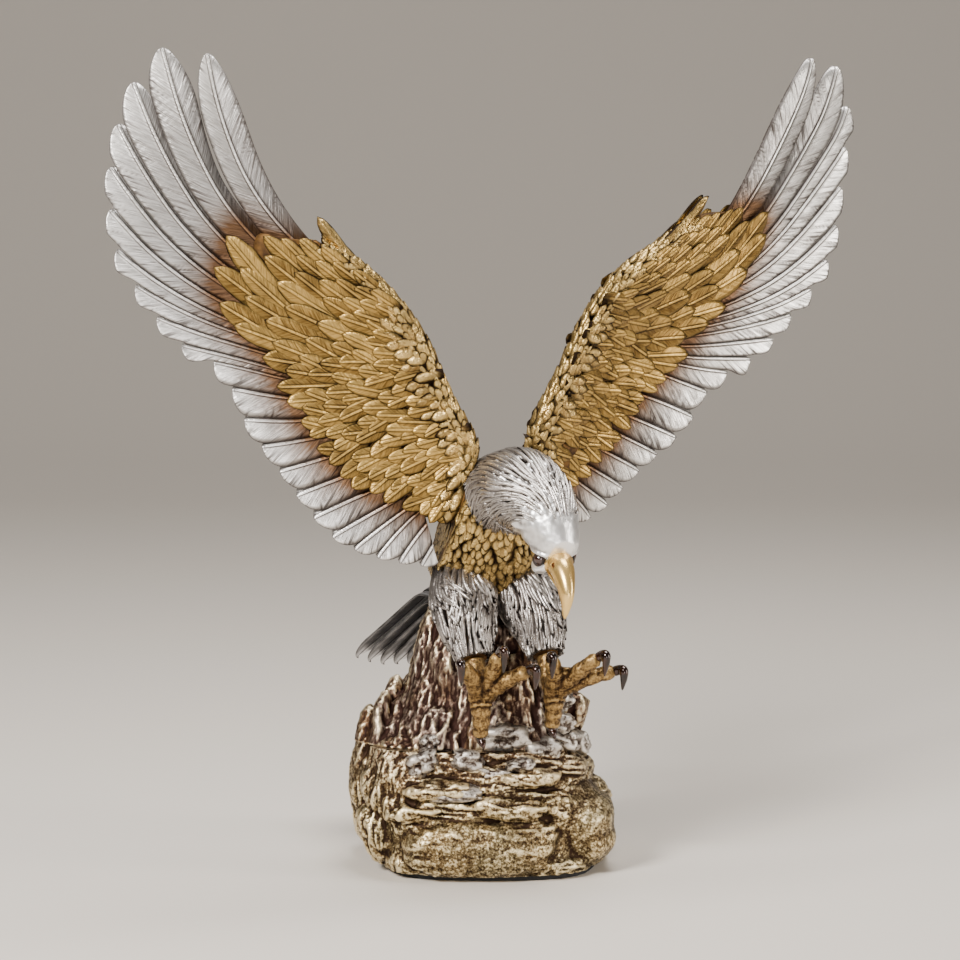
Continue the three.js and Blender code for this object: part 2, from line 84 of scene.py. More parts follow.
CUP, TIP_BEND = 5.0, 14.0  # how far the wing is hollow across it, and bends back at its tip
BOW = 9.0  # how far the first primaries bow
BLADE, ARM = 3.0, 8.0  # the core's thickness at the feathers and along the arm
UNSTAINED = 30.0  # as far beyond the gold as its stain never reaches
WRIST_ROOM = 8.0  # how far gold feathers may pass the wrist
BROAD_OVER = 12.5  # gold feathers longer than this get the finer blank


# ---------------------------------------------------------------- meshes as by hand
def select_only(*things):
    """Selects these objects and nothing else; the first is the active one."""
    bpy.ops.object.select_all(action="DESELECT")
    for thing in things:
        thing.select_set(True)
    bpy.context.view_layer.objects.active = things[0]


def start_from(add_primitive, **settings):
    """Runs the operator that adds a primitive, with nothing else selected."""
    bpy.ops.object.select_all(action="DESELECT")
    add_primitive(**settings)
    return bpy.context.object


def apply_modifier(thing, kind, **settings):
    """Adds a modifier with its settings and applies it."""
    select_only(thing)
    modifier = thing.modifiers.new(kind.title(), kind)
    for key, value in settings.items():
        setattr(modifier, key, value)
    bpy.ops.object.modifier_apply(modifier=modifier.name)


def read_vectors(collection, what):
    """One vector of each member of a mesh's collection, as rows."""
    out = np.zeros(len(collection) * 3)
    collection.foreach_get(what, out)
    return out.reshape(-1, 3)


def corners(thing):
    """Where a mesh's vertices are."""
    return read_vectors(thing.data.vertices, "co")


def outward(thing):
    """The directions a mesh's vertices face."""
    return read_vectors(thing.data.vertex_normals, "vector")


def move_corners(thing, places):
    """Puts a mesh's vertices at these places."""
    thing.data.vertices.foreach_set("co", np.asarray(places, float).ravel())
    thing.data.update()


def mark(thing, name, values):
    """Stores a number or a vector at each vertex for the material to read."""
    values = np.asarray(values, float)
    kind = "FLOAT" if values.ndim == 1 else "FLOAT_VECTOR"
    data = thing.data.attributes.get(name) or thing.data.attributes.new(name, kind, "POINT")
    data.data.foreach_set("value" if kind == "FLOAT" else "vector", values.ravel())


def smooth(thing):
    """Shades all of a mesh's faces smooth."""
    thing.data.polygons.foreach_set("use_smooth", [True] * len(thing.data.polygons))
    thing.data.update()


def blank(name, columns, rows):
    """A sheet of two skins, at -1 and 1, closed round its rim: across is -1 to 1, along is 0 to 1."""
    sheet = start_from(bpy.ops.mesh.primitive_grid_add, x_subdivisions=columns, y_subdivisions=rows, size=2)
    apply_modifier(sheet, "SOLIDIFY", thickness=2.0, offset=0.0)
    places = corners(sheet)
    places[:, 1] = (places[:, 1] + 1) / 2
    move_corners(sheet, places)
    smooth(sheet)
    sheet.name = name
    return sheet


def join(name, things):
    """Makes several objects one named piece."""
    select_only(*things)
    if len(things) > 1:
        bpy.ops.object.join()
    made = bpy.context.object
    made.name = made.data.name = name
    return made


def finish_piece(thing, body, material, slot, *stands_for):
    """Smooths a piece, gives it its material and body, and hides the CAD nodes it stands for; slot is not
    used.
    """
    smooth(thing)
    thing.data.materials.clear()
    thing.data.materials.append(material)
    thing.data.validate()
    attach(thing, body)
    if stands_for:
        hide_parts(*stands_for)


# ---------------------------------------------------------------- curves and surfaces, in mm
def unit(v):
    """A direction one long."""
    v = np.asarray(v, float)
    return v / np.linalg.norm(v, axis=-1, keepdims=True)


def ease(x):
    """A smooth step from 0 to 1."""
    x = np.clip(x, 0, 1)
    return x * x * (3 - 2 * x)


class Curve:
    """A smooth line through points, read by its share of the whole length."""

    def __init__(self, points):
        p = np.array(points, float)
        t = np.linspace(0, len(p) - 1, 400)
        i = np.minimum(t.astype(int), len(p) - 2)
        f = (t - i)[:, None]
        before, after = p[np.maximum(i - 1, 0)], p[np.minimum(i + 2, len(p) - 1)]
        a, b = p[i], p[i + 1]
        va, vb = (b - before) / 2, (after - a) / 2
        self.points = (2 * a - 2 * b + va + vb) * f**3 + (3 * b - 3 * a - 2 * va - vb) * f**2 + va * f + a
        steps = np.linalg.norm(np.diff(self.points, axis=0), axis=1)
        self.run = np.concatenate([[0], np.cumsum(steps)])
        self.length = self.run[-1]

    def at(self, share):
        x = np.clip(share, 0, 1) * self.length
        return np.stack([np.interp(x, self.run, axis) for axis in self.points.T], -1)

    def heading(self, share):
        share = np.clip(share, 0.01, 0.99)
        return unit(self.at(share + 0.01) - self.at(share - 0.01))


class Limb:
    """A round-sided form along a line in the bird's frame, its half width and height given at even steps."""

    def __init__(self, path, radii, sideways=(1, 0, 0)):
        self.line, self.radii, self.sideways = Curve(path), np.array(radii, float), np.array(sideways, float)

    def frame_at(self, t):
        forward = self.line.heading(t)
        across = unit(self.sideways - forward * (forward @ self.sideways)[..., None])
        steps = np.linspace(0, 1, len(self.radii))
        wide, high = (np.interp(t, steps, r) for r in self.radii.T)
        return across, np.cross(across, forward), wide, high

    def girth(self, t, angle):
        _, _, wide, high = self.frame_at(t)
        return np.hypot(wide * np.sin(angle), high * np.cos(angle))

    def at(self, t, angle, lift=0.0, share=1.0):
        t, angle, lift, share = np.broadcast_arrays(*(np.asarray(v, float) for v in (t, angle, lift, share)))
        across, up, wide, high = self.frame_at(t)
        c, s = np.cos(angle), np.sin(angle)
        side = across * (wide * c)[..., None] + up * (high * s)[..., None]
        normal = unit(across * (c / wide)[..., None] + up * (s / high)[..., None])
        return self.line.at(t) + side * share[..., None] + normal * lift[..., None]


def noise_at(places, octaves=0):
    """Noise between about -1 and 1 at each place: plain, or heaped up in octaves of finer grain."""
    if octaves:
        return np.array([noise.fractal(Vector(q), 0.8, 2.1, octaves) for q in places])
    return np.array([noise.noise(Vector(q)) for q in places])


def from_bird(p):
    """From the bird's own frame, where it faces -Y, to the statuette's."""
    p = np.asarray(p, float)
    c, s = math.cos(BIRD_TURN), math.sin(BIRD_TURN)
    x, y, z = p[..., 0], p[..., 1], p[..., 2]
    return np.stack([BIRD_X + x * c - y * s, BIRD_Y + x * s + y * c, z], -1)


def as_given(p):
    """For places already in the statuette's own frame."""
    return np.asarray(p, float)


def turned_with_bird(direction):
    return from_bird(direction) - from_bird(np.zeros(3))


def shape_limb(limb, around=20, along=16, ends=0.1, place=from_bird):
    """A sphere drawn out along a limb, its two ends rounded over a share of the length."""
    thing = start_from(bpy.ops.mesh.primitive_uv_sphere_add, segments=around, ring_count=along, radius=1)
    p = corners(thing)
    t = np.arccos(np.clip(p[:, 2], -1, 1)) / np.pi
    share = np.sqrt(np.clip(1 - (1 - np.minimum(np.minimum(t, 1 - t) / ends, 1)) ** 2, 0, 1))
    move_corners(thing, place(limb.at(t, np.arctan2(p[:, 1], p[:, 0]), 0, share)) * MM)
    return thing


def shape_stone(centre, radii, roughness=0.12, grain=0.08, turn=0.0, place=as_given, square=2.0):
    """A ball knocked into a stone: squared off a little, pulled out to its radii and dented by noise."""
    thing = start_from(bpy.ops.mesh.primitive_ico_sphere_add, subdivisions=4, radius=1)
    p = corners(thing)
    p = p / ((np.abs(p) ** square).sum(1) ** (1 / square))[:, None]
    dents = np.array([noise.fractal(Vector(q) * 1.3 + Vector(centre) * grain, 1.0, 2.0, 3) for q in p])
    p = p * (1 + roughness * dents)[:, None] * np.array(radii)
    c, s = math.cos(turn), math.sin(turn)
    p = np.stack([p[:, 0] * c - p[:, 2] * s, p[:, 1], p[:, 0] * s + p[:, 2] * c], -1) + np.array(centre)
    move_corners(thing, place(p) * MM)
    return thing


def fuse(name, things, voxel, rounds):
    """Makes one skin of several overlapping forms and softens the seams between them."""
    thing = join(name, things)
    apply_modifier(thing, "REMESH", mode="VOXEL", voxel_size=voxel * MM)
    if rounds:
        apply_modifier(thing, "SMOOTH", factor=0.5, iterations=rounds)
    return thing


def cut_away(thing, point, normal, place=from_bird, turned=turned_with_bird):
    """Removes what lies beyond a plane, given in mm, and closes the cut."""
    select_only(thing)
    bpy.ops.object.mode_set(mode="EDIT")
    bpy.ops.mesh.select_all(action="SELECT")
    bpy.ops.mesh.bisect(
        plane_co=place(np.asarray(point, float)) * MM, plane_no=turned(np.asarray(normal, float)),
        use_fill=True, clear_outer=True,
    )
    bpy.ops.object.mode_set(mode="OBJECT")


def carve(thing, tool):
    """Cuts one closed form out of another."""
    apply_modifier(thing, "BOOLEAN", operation="DIFFERENCE", object=tool, solver="EXACT")
    bpy.data.objects.remove(tool)


def shape_rod(radius, length, centre, direction, place=from_bird, sides=24):
    """A bar along a direction, its middle at centre."""
    thing = start_from(bpy.ops.mesh.primitive_cylinder_add, vertices=sides, radius=radius, depth=length)
    turn = Vector((0, 0, 1)).rotation_difference(Vector(direction)).to_matrix()
    move_corners(thing, place(corners(thing) @ np.array(turn).T + np.asarray(centre, float)) * MM)
    return thing


def shape_block(size, centre, direction, place=from_bird):
    """A block whose length lies along a direction."""
    thing = start_from(bpy.ops.mesh.primitive_cube_add, size=1)
    turn = Vector((1, 0, 0)).rotation_difference(Vector(direction)).to_matrix()
    p = (corners(thing) * np.array(size)) @ np.array(turn).T + np.asarray(centre, float)
    move_corners(thing, place(p) * MM)
    return thing


def mark_relief(thing, reach, rounds=14):
    """Marks how far each vertex stands above (1) or below (0) the surface around it; reach is in mm."""
    places, normals = corners(thing), outward(thing)
    edges = np.zeros(len(thing.data.edges) * 2, int)
    thing.data.edges.foreach_get("vertices", edges)
    a, b = edges.reshape(-1, 2).T
    count = np.bincount(a, minlength=len(places)) + np.bincount(b, minlength=len(places))
    even = places.copy()
    for _ in range(rounds):
        total = np.zeros_like(even)
        for axis in range(3):
            total[:, axis] += np.bincount(a, even[b, axis], len(places))
            total[:, axis] += np.bincount(b, even[a, axis], len(places))
        even = 0.5 * even + 0.5 * total / np.maximum(count, 1)[:, None]
    height = ((places - even) * normals).sum(1) / MM
    mark(thing, "relief", np.clip(0.5 + height / reach / 2, 0, 1))


# ---------------------------------------------------------------- the wing as a surface
class Wing:
    """One wing laid out flat, in mm: s runs out from the shoulder, c back across the feathers."""

    def __init__(self, side):
        w = WINGS[side]
        self.side, self.body = side, w["name"]
        lift, sweep, tilt = (math.radians(w[k]) for k in ("lift", "sweep", "tilt"))
        out = np.array([side * math.cos(sweep), math.sin(sweep), 0])
        up = np.array([0, 0, 1.0])
        level = np.array([side * math.sin(sweep), -math.cos(sweep), 0])
        down = out * math.sin(lift) - up * math.cos(lift)
        self.shoulder = np.array(w["shoulder"], float)
        self.along = out * math.cos(lift) + up * math.sin(lift)
        self.across = down * math.cos(tilt) - level * math.sin(tilt)
        self.front = level * math.cos(tilt) + down * math.sin(tilt)
        self.leading, self.tips, self.gold = Curve(w["leading"]), Curve(w["tips"]), Curve(w["gold"])
        self.thumb, self.lean = w["thumb"], np.radians(w["lean"])
        self.lean[:, 0] = np.array(w["lean"])[:, 0]

    def fan(self, u, v):
        """Flat place of a point: u counts feathers from the first primary in, v runs from root to tip."""
        u, v = np.broadcast_arrays(np.asarray(u, float), np.asarray(v, float))
        u = np.clip(u, 0, 1)
        root, tip = self.leading.at(u**1.9), self.tips.at(1.4 * u - 0.4 * u * u)
        flat = root + (tip - root) * v[..., None]
        flat[..., 1] += BOW * (1 - u) ** 4 * 4 * v * (1 - v)
        return flat

    def heading(self, flat):
        """The way the feathers point at a flat place: out along the hand, straight back beside the body."""
        along, back = flat[..., 0], flat[..., 1]
        spread = np.radians(np.interp(along, [40, 100], [0.15, 0.4])) * (back - 35)
        angle = np.interp(along, *self.lean.T) + spread
        return np.stack([np.cos(angle), np.sin(angle)], -1)

    def quill(self, k, length=115):
        """A flight feather's middle line, a point for each mm back from its tip."""
        line = [self.fan((k + 0.5) / FEATHERS, 1.0)]
        for _ in range(length):
            line.append(line[-1] - self.heading(line[-1]))
        return np.array(line)

    def behind(self, flat):
        """How far a flat place is behind the leading edge, in mm."""
        edge = self.leading.points[::-1]
        return flat[..., 1] - np.interp(flat[..., 0], edge[:, 0], edge[:, 1])

    def beyond_gold(self, flat):
        """How far a flat place is outside the gold feathers, in mm; less than nothing inside."""
        line = self.gold.points[::8]
        gap = flat[:, None, :] - line[None, :-1, :]
        step = np.diff(line, axis=0)
        share = np.clip((gap * step).sum(-1) / (step**2).sum(-1), 0, 1)
        gap = gap - share[..., None] * step
        nearest = np.argmin((gap**2).sum(-1), 1)
        rows = np.arange(len(flat))
        gap, step = gap[rows, nearest], step[nearest]
        return -np.hypot(*gap.T) * np.sign(step[:, 0] * gap[:, 1] - step[:, 1] * gap[:, 0])

    def skin(self, flat):
        """Half the thickness of the wing's core."""
        taper = 1 - 0.55 * ease((flat[..., 0] - 60) / 60)
        return (BLADE + (ARM - BLADE) * taper * np.exp(-((np.maximum(self.behind(flat), 0) / 26) ** 2))) / 2

    def place(self, flat, height):
        """From the flat wing to metres in the statuette's frame."""
        s, c = flat[..., 0], flat[..., 1]
        lift = CUP * ((c - 30) / 40) ** 2 - TIP_BEND * (np.maximum(s, 0) / 200) ** 2 + height
        steps = ((s, self.along), (c, self.across), (lift, self.front))
        return from_bird(self.shoulder + sum(far[..., None] * way for far, way in steps)) * MM


# ---------------------------------------------------------------- feathers
def rounding(distance, radius, blunt=1.9, fall=0.6):
    """How wide a vane still is at a distance from its tip, as a share of its full width."""
    near = np.clip(distance / radius, 0, 1)
    return np.maximum(1 - (1 - near) ** blunt, 0.002) ** fall


def feather(sheet, length, lead, trail, tip=(9, 9), arch=0.6, tilt=0.0, thick=1.2, quill=0.4, rise=0.0,
            curl=0.0, root=0.5, blunt=1.9):
    """Shapes a blank as a feather in mm: x towards the trailing vane, y from root to tip, z outwards."""
    a, b, face = sheet.T
    a = np.sign(a) * np.abs(a) ** 1.4
    far = (1 - b) * length
    stem = root + (1 - root) * ease(b / 0.35)
    x = a * stem * np.where(a > 0, trail * rounding(far, tip[1], blunt), lead * rounding(far, tip[0], blunt))
    y = b * length
    near_tip = 1 - np.clip(far / max(tip), 0, 1)
    z = rise * b - curl * near_tip**2 - arch * a * a + tilt * a
    body = thick / 2 * (1 - 0.55 * a * a) * (1 - 0.5 * near_tip)
    ridge = quill * np.exp(-((x / 0.6) ** 2)) * np.clip(far / 6, 0, 1) ** 0.5
    z = z + face * (body + ridge)
    edge = np.maximum(np.abs(a), np.clip(1 - far / 0.9, 0, 1))
    return x, y, z, edge


def strokes(x, y, a, length, count, reach=(0.25, 0.7), depth=(0.4, 1.0), wide=0.42):
    """Slanting cuts between the barbs: bunched, deepest at the edge, dying out towards the quill."""
    cuts = np.zeros_like(x)
    centres = [random.uniform(0.2, 1.0) * length for _ in range(max(1, count // 4))]
    for _ in range(count):
        start = random.choice(centres) + random.gauss(0, 5.0)
        side = random.choice((-1, 1))
        inner = random.uniform(*reach)
        line = np.exp(-(((y - start - 1.25 * np.abs(x)) / wide) ** 2)) * (a * side > 0)
        cuts = np.maximum(cuts, random.uniform(*depth) * line * ease((np.abs(a) - inner) / 0.35))
    return cuts


def plumage(name, blank_object, forms, body, material, slot):
    """A piece of many feathers: a copy of the blank for each form, which is its points and three marks."""
    made = []
    for places, barb, tone, leaf in forms:
        copy = blank_object.copy()
        copy.data = blank_object.data.copy()
        bpy.context.scene.collection.objects.link(copy)
        move_corners(copy, places)
        mark(copy, "barb", barb)
        mark(copy, "tone", tone)
        mark(copy, "leaf", leaf)
        made.append(copy)
    finish_piece(join(name, made), body, material, slot)


def sideways_of(ahead):
    """A flat direction turned a quarter turn, towards the trailing edge."""
    return np.stack([-ahead[..., 1], ahead[..., 0]], -1)


def apart(line, other):
    """How far each point of a line is from another line."""
    return np.sqrt(((line[:, None, :] - other[None]) ** 2).sum(-1)).min(1)


def deepest(*washes):
    """Several washes and painted shades over one another: the darkest shows."""
    return np.clip(np.maximum.reduce(washes), 0, 1)


def flight_feather(wing, k, sheet):
    """One primary or secondary, its trailing vane lying over the next feather's leading vane."""
    hand = k < HAND
    a, b, face = sheet.T
    length = 92 if k < 3 else 84 if k < 7 else 70 if hand else 48
    line = wing.quill(k)
    next_gap = apart(line, wing.quill(min(k + 1, FEATHERS - 1)))
    last_gap = apart(line, wing.quill(max(k - 1, 0)))
    next_gap = last_gap if k == FEATHERS - 1 else next_gap
    far = (1 - b) * length
    mm = np.arange(len(line))
    centre = np.stack([np.interp(far, mm, axis) for axis in line.T], -1)
    ahead = wing.heading(centre)
    sideways = sideways_of(ahead)
    next_pitch = np.clip(np.interp(far, mm, next_gap), 2.0, 11)
    last_pitch = np.clip(np.interp(far, mm, last_gap), 2.0, 11)
    if k == 0:
        lead, trail, tips = 8.4 * ease(0.45 + 0.8 * b), 0.75 * np.minimum(next_pitch, 10), (30, 26)
    elif k == 1:
        lead, trail, tips = 0.35 * last_pitch + 4.2 * ease((b - 0.35) / 0.5), 0.85 * next_pitch, (26, 18)
    elif hand:
        lead, trail, tips = 0.45 * last_pitch, 0.86 * next_pitch, (13, 16)
    else:
        lead, trail, tips = 0.46 * last_pitch, 0.9 * next_pitch, (7, 9)
    x, y, z, edge = feather(
        sheet, length, lead, trail, tip=tips, arch=0.6 if hand else 0.9, tilt=1.3, thick=1.5,
        quill=0.55 if hand else 0.4, root=1.0, curl=random.uniform(-0.4, 0.6),
    )
    cuts = strokes(x, y, a, length, 44 if hand else 14, reach=(0.15, 0.7), wide=0.5)
    z = z - face * 0.4 * cuts
    flat = centre + sideways * x[:, None]
    # near the leading edge the quills end at the wing's own root, where the body begins
    root = 1.5 - 2.5 * np.maximum(wing.behind(flat) - 14, 0)
    flat[:, 0] = np.maximum(flat[:, 0], root)
    # painted shadow on the leading vane, under the trailing vane of the feather before it, and painted shade
    # in a line round the rim; the cuts carry the wash
    lead_shadow = ease((-x - 1.1) / 1.6) * (0.9 if k > 1 else 0.15) * np.clip(0.15 + far / 16, 0, 1)
    lead_shadow = lead_shadow * (0.75 if hand else 0.95)
    outline = ease((edge - 0.94) / 0.05) * 0.8
    wash = deepest(lead_shadow, cuts * 0.85, outline)
    # painted highlight: the light colour strongest at the tip, and a little more over the trailing vane
    leaf = np.clip(0.9 * np.exp(-far / (16 if hand else 7)) + 0.12 * ease(x / 4), 0, 1)
    return wing.place(flat, z), *barb_and_tone(x, y, wing.beyond_gold(flat), wash, edge), leaf


def laid_feather(wing, sheet, spot, length, width, face, lift_off, turn=0.0, bright=0.0, **shape):
    """A covert on the front (face 1) or back (face -1) of the wing, its tip at a flat place."""
    ahead = wing.heading(spot)
    c, s = math.cos(turn), math.sin(turn)
    ahead = c * ahead + s * sideways_of(ahead)
    sideways = sideways_of(ahead)
    x, y, z, edge = feather(sheet, length, width / 2, width / 2, **shape)
    a = sheet[:, 0]
    cuts = strokes(x, y, a, length, int(length / 5), wide=0.35) if len(sheet) > 300 else np.zeros_like(x)
    z = z - 0.25 * cuts * (sheet[:, 2] > 0)
    flat = spot + (y - length)[:, None] * ahead + x[:, None] * sideways
    height = face * (wing.skin(flat) + lift_off + z)
    return wing.place(flat, height), *covert_marks(sheet, x, y, length, edge, cuts, bright)


def barb_and_tone(x, y, past_gold, wash, edge):
    """The marks that say where on its feather a point is, how far from the gold, and how dark it is with wash
    and painted shade.
    """
    barb = np.stack([x, y, np.full_like(y, random.random())], -1)
    return barb, np.stack([np.broadcast_to(past_gold, y.shape), wash, edge], -1)


def covert_marks(sheet, x, y, length, edge, cuts, bright=0.0, rim=0.955, under=0.85):
    """Marks for a feather leafed all over: dark in the cuts and at its root, with painted shade round its rim
    and painted highlights along its rim and tip.
    """
    b = sheet[:, 1]
    far = (1 - b) * length
    under = ease(1 - b / 0.45) * under
    # painted shade: a dark line round the rim
    outline = ease((edge - rim) / (0.995 - rim)) * 0.9
    wash = deepest(under, cuts * 0.7, outline)
    # painted highlights along the rim towards the tip and at the tip itself, over the bright the caller gives
    rim_highlight = 0.8 * ease((edge - 0.6) / 0.3) * np.exp(-far / (0.35 * length))
    lit = np.clip(bright + rim_highlight + 0.5 * np.exp(-far / 3), 0, 1)
    return (*barb_and_tone(x, y, UNSTAINED, wash, edge), lit * (1 - outline))


def on_hand(s):
    """0 on the arm, 1 on the hand, by the distance out from the shoulder in mm."""
    return ease((s - 55) / 35)


def covert_size(wing, spot):
    """Length and width of the gold feather at a flat place: large on the hand, small by the edge."""
    hand = on_hand(spot[0])
    inner = ease((wing.behind(spot) - 4) / 24)
    length = (9.5 + 7.5 * inner) * (1 - hand) + (16 + 20 * inner) * hand
    width = (4.8 + 2.4 * inner) * (1 - hand) + (5.6 + 4.2 * inner) * hand
    return length, width


def covert_tips(wing):
    """Spreads feather tips over the gold part of the wing, filling in row after row from its outer edge."""
    spots = np.array([(random.uniform(-18, 152), random.uniform(-24, 48)) for _ in range(9000)])
    depth = -wing.beyond_gold(spots)
    past_wrist = (spots - wing.gold.points[0]) @ (1, -1) - WRIST_ROOM
    inside = (depth > -0.5) & (wing.behind(spots) > 0.5) & (past_wrist < 0)
    order = np.argsort(np.round(depth[inside] / 2.5))
    kept = []
    for spot in spots[inside][order]:
        length, width = covert_size(wing, spot)
        ahead = wing.heading(spot)
        if wing.behind(spot - ahead * length * 0.85) < -0.5 and spot[0] < 88:
            continue
        if kept:
            gap = np.array(kept) - spot
            in_line = gap @ ahead / ((0.36 + 0.1 * on_hand(spot[0])) * length)
            beside = gap @ sideways_of(ahead) / (0.72 * width)
            if (in_line**2 + beside**2).min() < 1:
                continue
        kept.append(spot)
    return kept


def gold_coverts(wing, sheet, small_sheet, face):
    """Gold feathers laid like tiles: long and smooth on the hand, short and lumpy up the arm."""
    broad, small = [], []
    for spot in covert_tips(wing):
        length, width = covert_size(wing, spot)
        hand = float(on_hand(spot[0]))
        wild = 1 - 0.7 * hand
        target, used = (broad, sheet) if length > BROAD_OVER else (small, small_sheet)
        target.append(laid_feather(
            wing, used, spot, length * (1 + wild * random.uniform(-0.2, 0.25)),
            width * random.uniform(0.9, 1.15), face, 0.1 + wild * random.uniform(-0.2, 0.4),
            turn=0.3 * wild * random.uniform(-1, 1), rise=1.9, arch=0.35 - 0.1 * hand,
            curl=wild * random.uniform(-0.9, 0.5), thick=0.8, quill=0.25, tilt=0.4 * random.uniform(-1, 1),
            tip=(0.28 * length + 2, 0.34 * length + 2), root=0.7, bright=0.4 * random.random() ** 2,
        ))
    return broad, small


def edge_scales(wing, sheet):
    """Small scales wrapped round the leading edge, pointing out along the arm."""
    forms = []
    for ring in range(9):
        around = math.radians(-110 + 27.5 * ring)
        for n in range(30):
            share = min(max(1 - (n + random.random()) / 30, 0.03), 0.97)
            spot = wing.leading.at(share)
            head = -wing.leading.heading(share)
            out = sideways_of(head)
            out = -out if out[1] > 0 else out
            thick = float(wing.skin(spot)) + 0.3
            length = random.uniform(5.5, 8.5)
            wide = random.uniform(1.6, 2.3)
            x, y, z, edge = feather(
                sheet, length, wide, wide, rise=1.5, arch=0.3, thick=0.8, quill=0.3, tip=(4, 4),
            )
            roll = around + random.uniform(-0.2, 0.2) + x / thick
            flat = spot + head * (y - 5)[:, None] + out * ((thick + z) * np.cos(roll) - 0.4 * thick)[:, None]
            marks = covert_marks(sheet, x, y, length, edge, np.zeros_like(x), bright=0.3 * random.random())
            forms.append((wing.place(flat, (thick + z) * np.sin(roll)), *marks))
    return forms


def thumb_feathers(wing, sheet):
    """The slender stepped feathers along the leading edge at the wrist."""
    forms = []
    edge_line = wing.leading.points[::-1]
    for n, (s, c) in enumerate(wing.thumb):
        root_at = s - 30 + 2 * n
        root = np.array([root_at, np.interp(root_at, edge_line[:, 0], edge_line[:, 1]) + 1.5])
        head = unit(np.array([s, c + 1.0]) - root)
        sideways = sideways_of(head)
        for height, length in ((1.8, 31 - 2 * n), (-1.8, 27 - 2 * n)):
            x, y, z, edge = feather(
                sheet, length, 2.4, 3.0, arch=0.7, thick=1.7, quill=0.4, tip=(9, 9), rise=0.3,
            )
            flat = np.array([s, c + 1.0]) + head * (y - length)[:, None] + sideways * x[:, None]
            marks = covert_marks(sheet, x, y, length, edge, np.zeros_like(x), bright=0.15)
            forms.append((wing.place(flat, height + z * (1 if height > 0 else -1)), *marks))
    return forms


SEAT = {side: np.array([side * 15.5, -19, 154.0]) for side in SIDES}
# the key is measured across, upwards, into the body and out into the wing
TENON_WIDE, TENON_HIGH, TENON_IN, TENON_OUT = 12.0, 8.0, 11.0, 8.0


def pull(side):
    """The way a wing comes off."""
    return unit([side * math.cos(math.radians(15)), 0.15, math.sin(math.radians(15))])


def tenon(side, clearance=0.0):
    """The key that plugs a wing into its shoulder, or with a clearance the socket for it."""
    reach_in = TENON_IN + clearance
    size = (reach_in + TENON_OUT, TENON_WIDE + 2 * clearance, TENON_HIGH + 2 * clearance)
    return shape_block(size, SEAT[side] + pull(side) * (TENON_OUT - reach_in) / 2, pull(side))


def wing_core(wing):
    """The solid arm and hand under the feathers, and the tenon that plugs into the shoulder."""
    sheet = blank("core", 60, 12)
    places = corners(sheet)
    u, v, face = (places[:, 0] + 1) / 2, places[:, 1], places[:, 2]
    front, edge = wing.leading.at(u), wing.gold.at(u)
    flat = front + (edge - front) * (0.01 + 0.78 * v)[:, None]
    move_corners(sheet, wing.place(flat, face * wing.skin(flat)))
    middle = np.array([(-6, 14), (6, 10), (22, 6), (40, 2)], float)
    shoulder = wing.place(middle, np.zeros(len(middle))) / MM
    boss = Limb(shoulder, [(10, 4.6), (10, 4.4), (7, 3.8), (3, 2.5)], turned_with_bird(wing.across))
    made = join("core", [sheet, shape_limb(boss, 24, 14, place=as_given)])
    cut_away(made, SEAT[wing.side] + pull(wing.side) * GAP, -pull(wing.side))
    key = tenon(wing.side)
    apply_modifier(key, "BEVEL", width=0.5 * MM, segments=2)
    return join(wing.body + "_core", [made, key])


# ---------------------------------------------------------------- finishes
def linear(hex_colour, alpha=1.0):
    """An sRGB hex colour as linear red, green, blue and alpha."""
    values = [int(hex_colour[i : i + 2], 16) / 255 for i in (1, 3, 5)]
    return [v / 12.92 if v <= 0.04045 else ((v + 0.055) / 1.055) ** 2.4 for v in values] + [alpha]


def add(tree, kind, settings=None, **links):
    """Adds a node. settings are its properties or its input sockets; links join other nodes to its inputs."""
    node = tree.nodes.new("ShaderNode" + kind)
    for key, value in (settings or {}).items():
        if isinstance(key, int) or key in node.inputs:
            node.inputs[key].default_value = value
        else:
            setattr(node, key, value)
    for key, source in links.items():
        numbered = key[0] == "_" and key[1:].isdigit()
        socket = node.inputs[int(key[1:])] if numbered else node.inputs[key.replace("_", " ")]
        tree.links.new(source.outputs[0] if hasattr(source, "outputs") else source, socket)
    return node


def new_material(name):
    """A material with its node tree and its shader."""
    material = bpy.data.materials.new(name)
    material.use_nodes = True
    tree = material.node_tree
    return material, tree, tree.nodes["Principled BSDF"]


def dress(tree, shader, metallic, **sockets):
    """Links what varies over the surface to the shader's own sockets."""
    shader.inputs["Metallic"].default_value = metallic
    for socket, source in sockets.items():
        tree.links.new(source.outputs[0], shader.inputs[socket.replace("_", " ")])


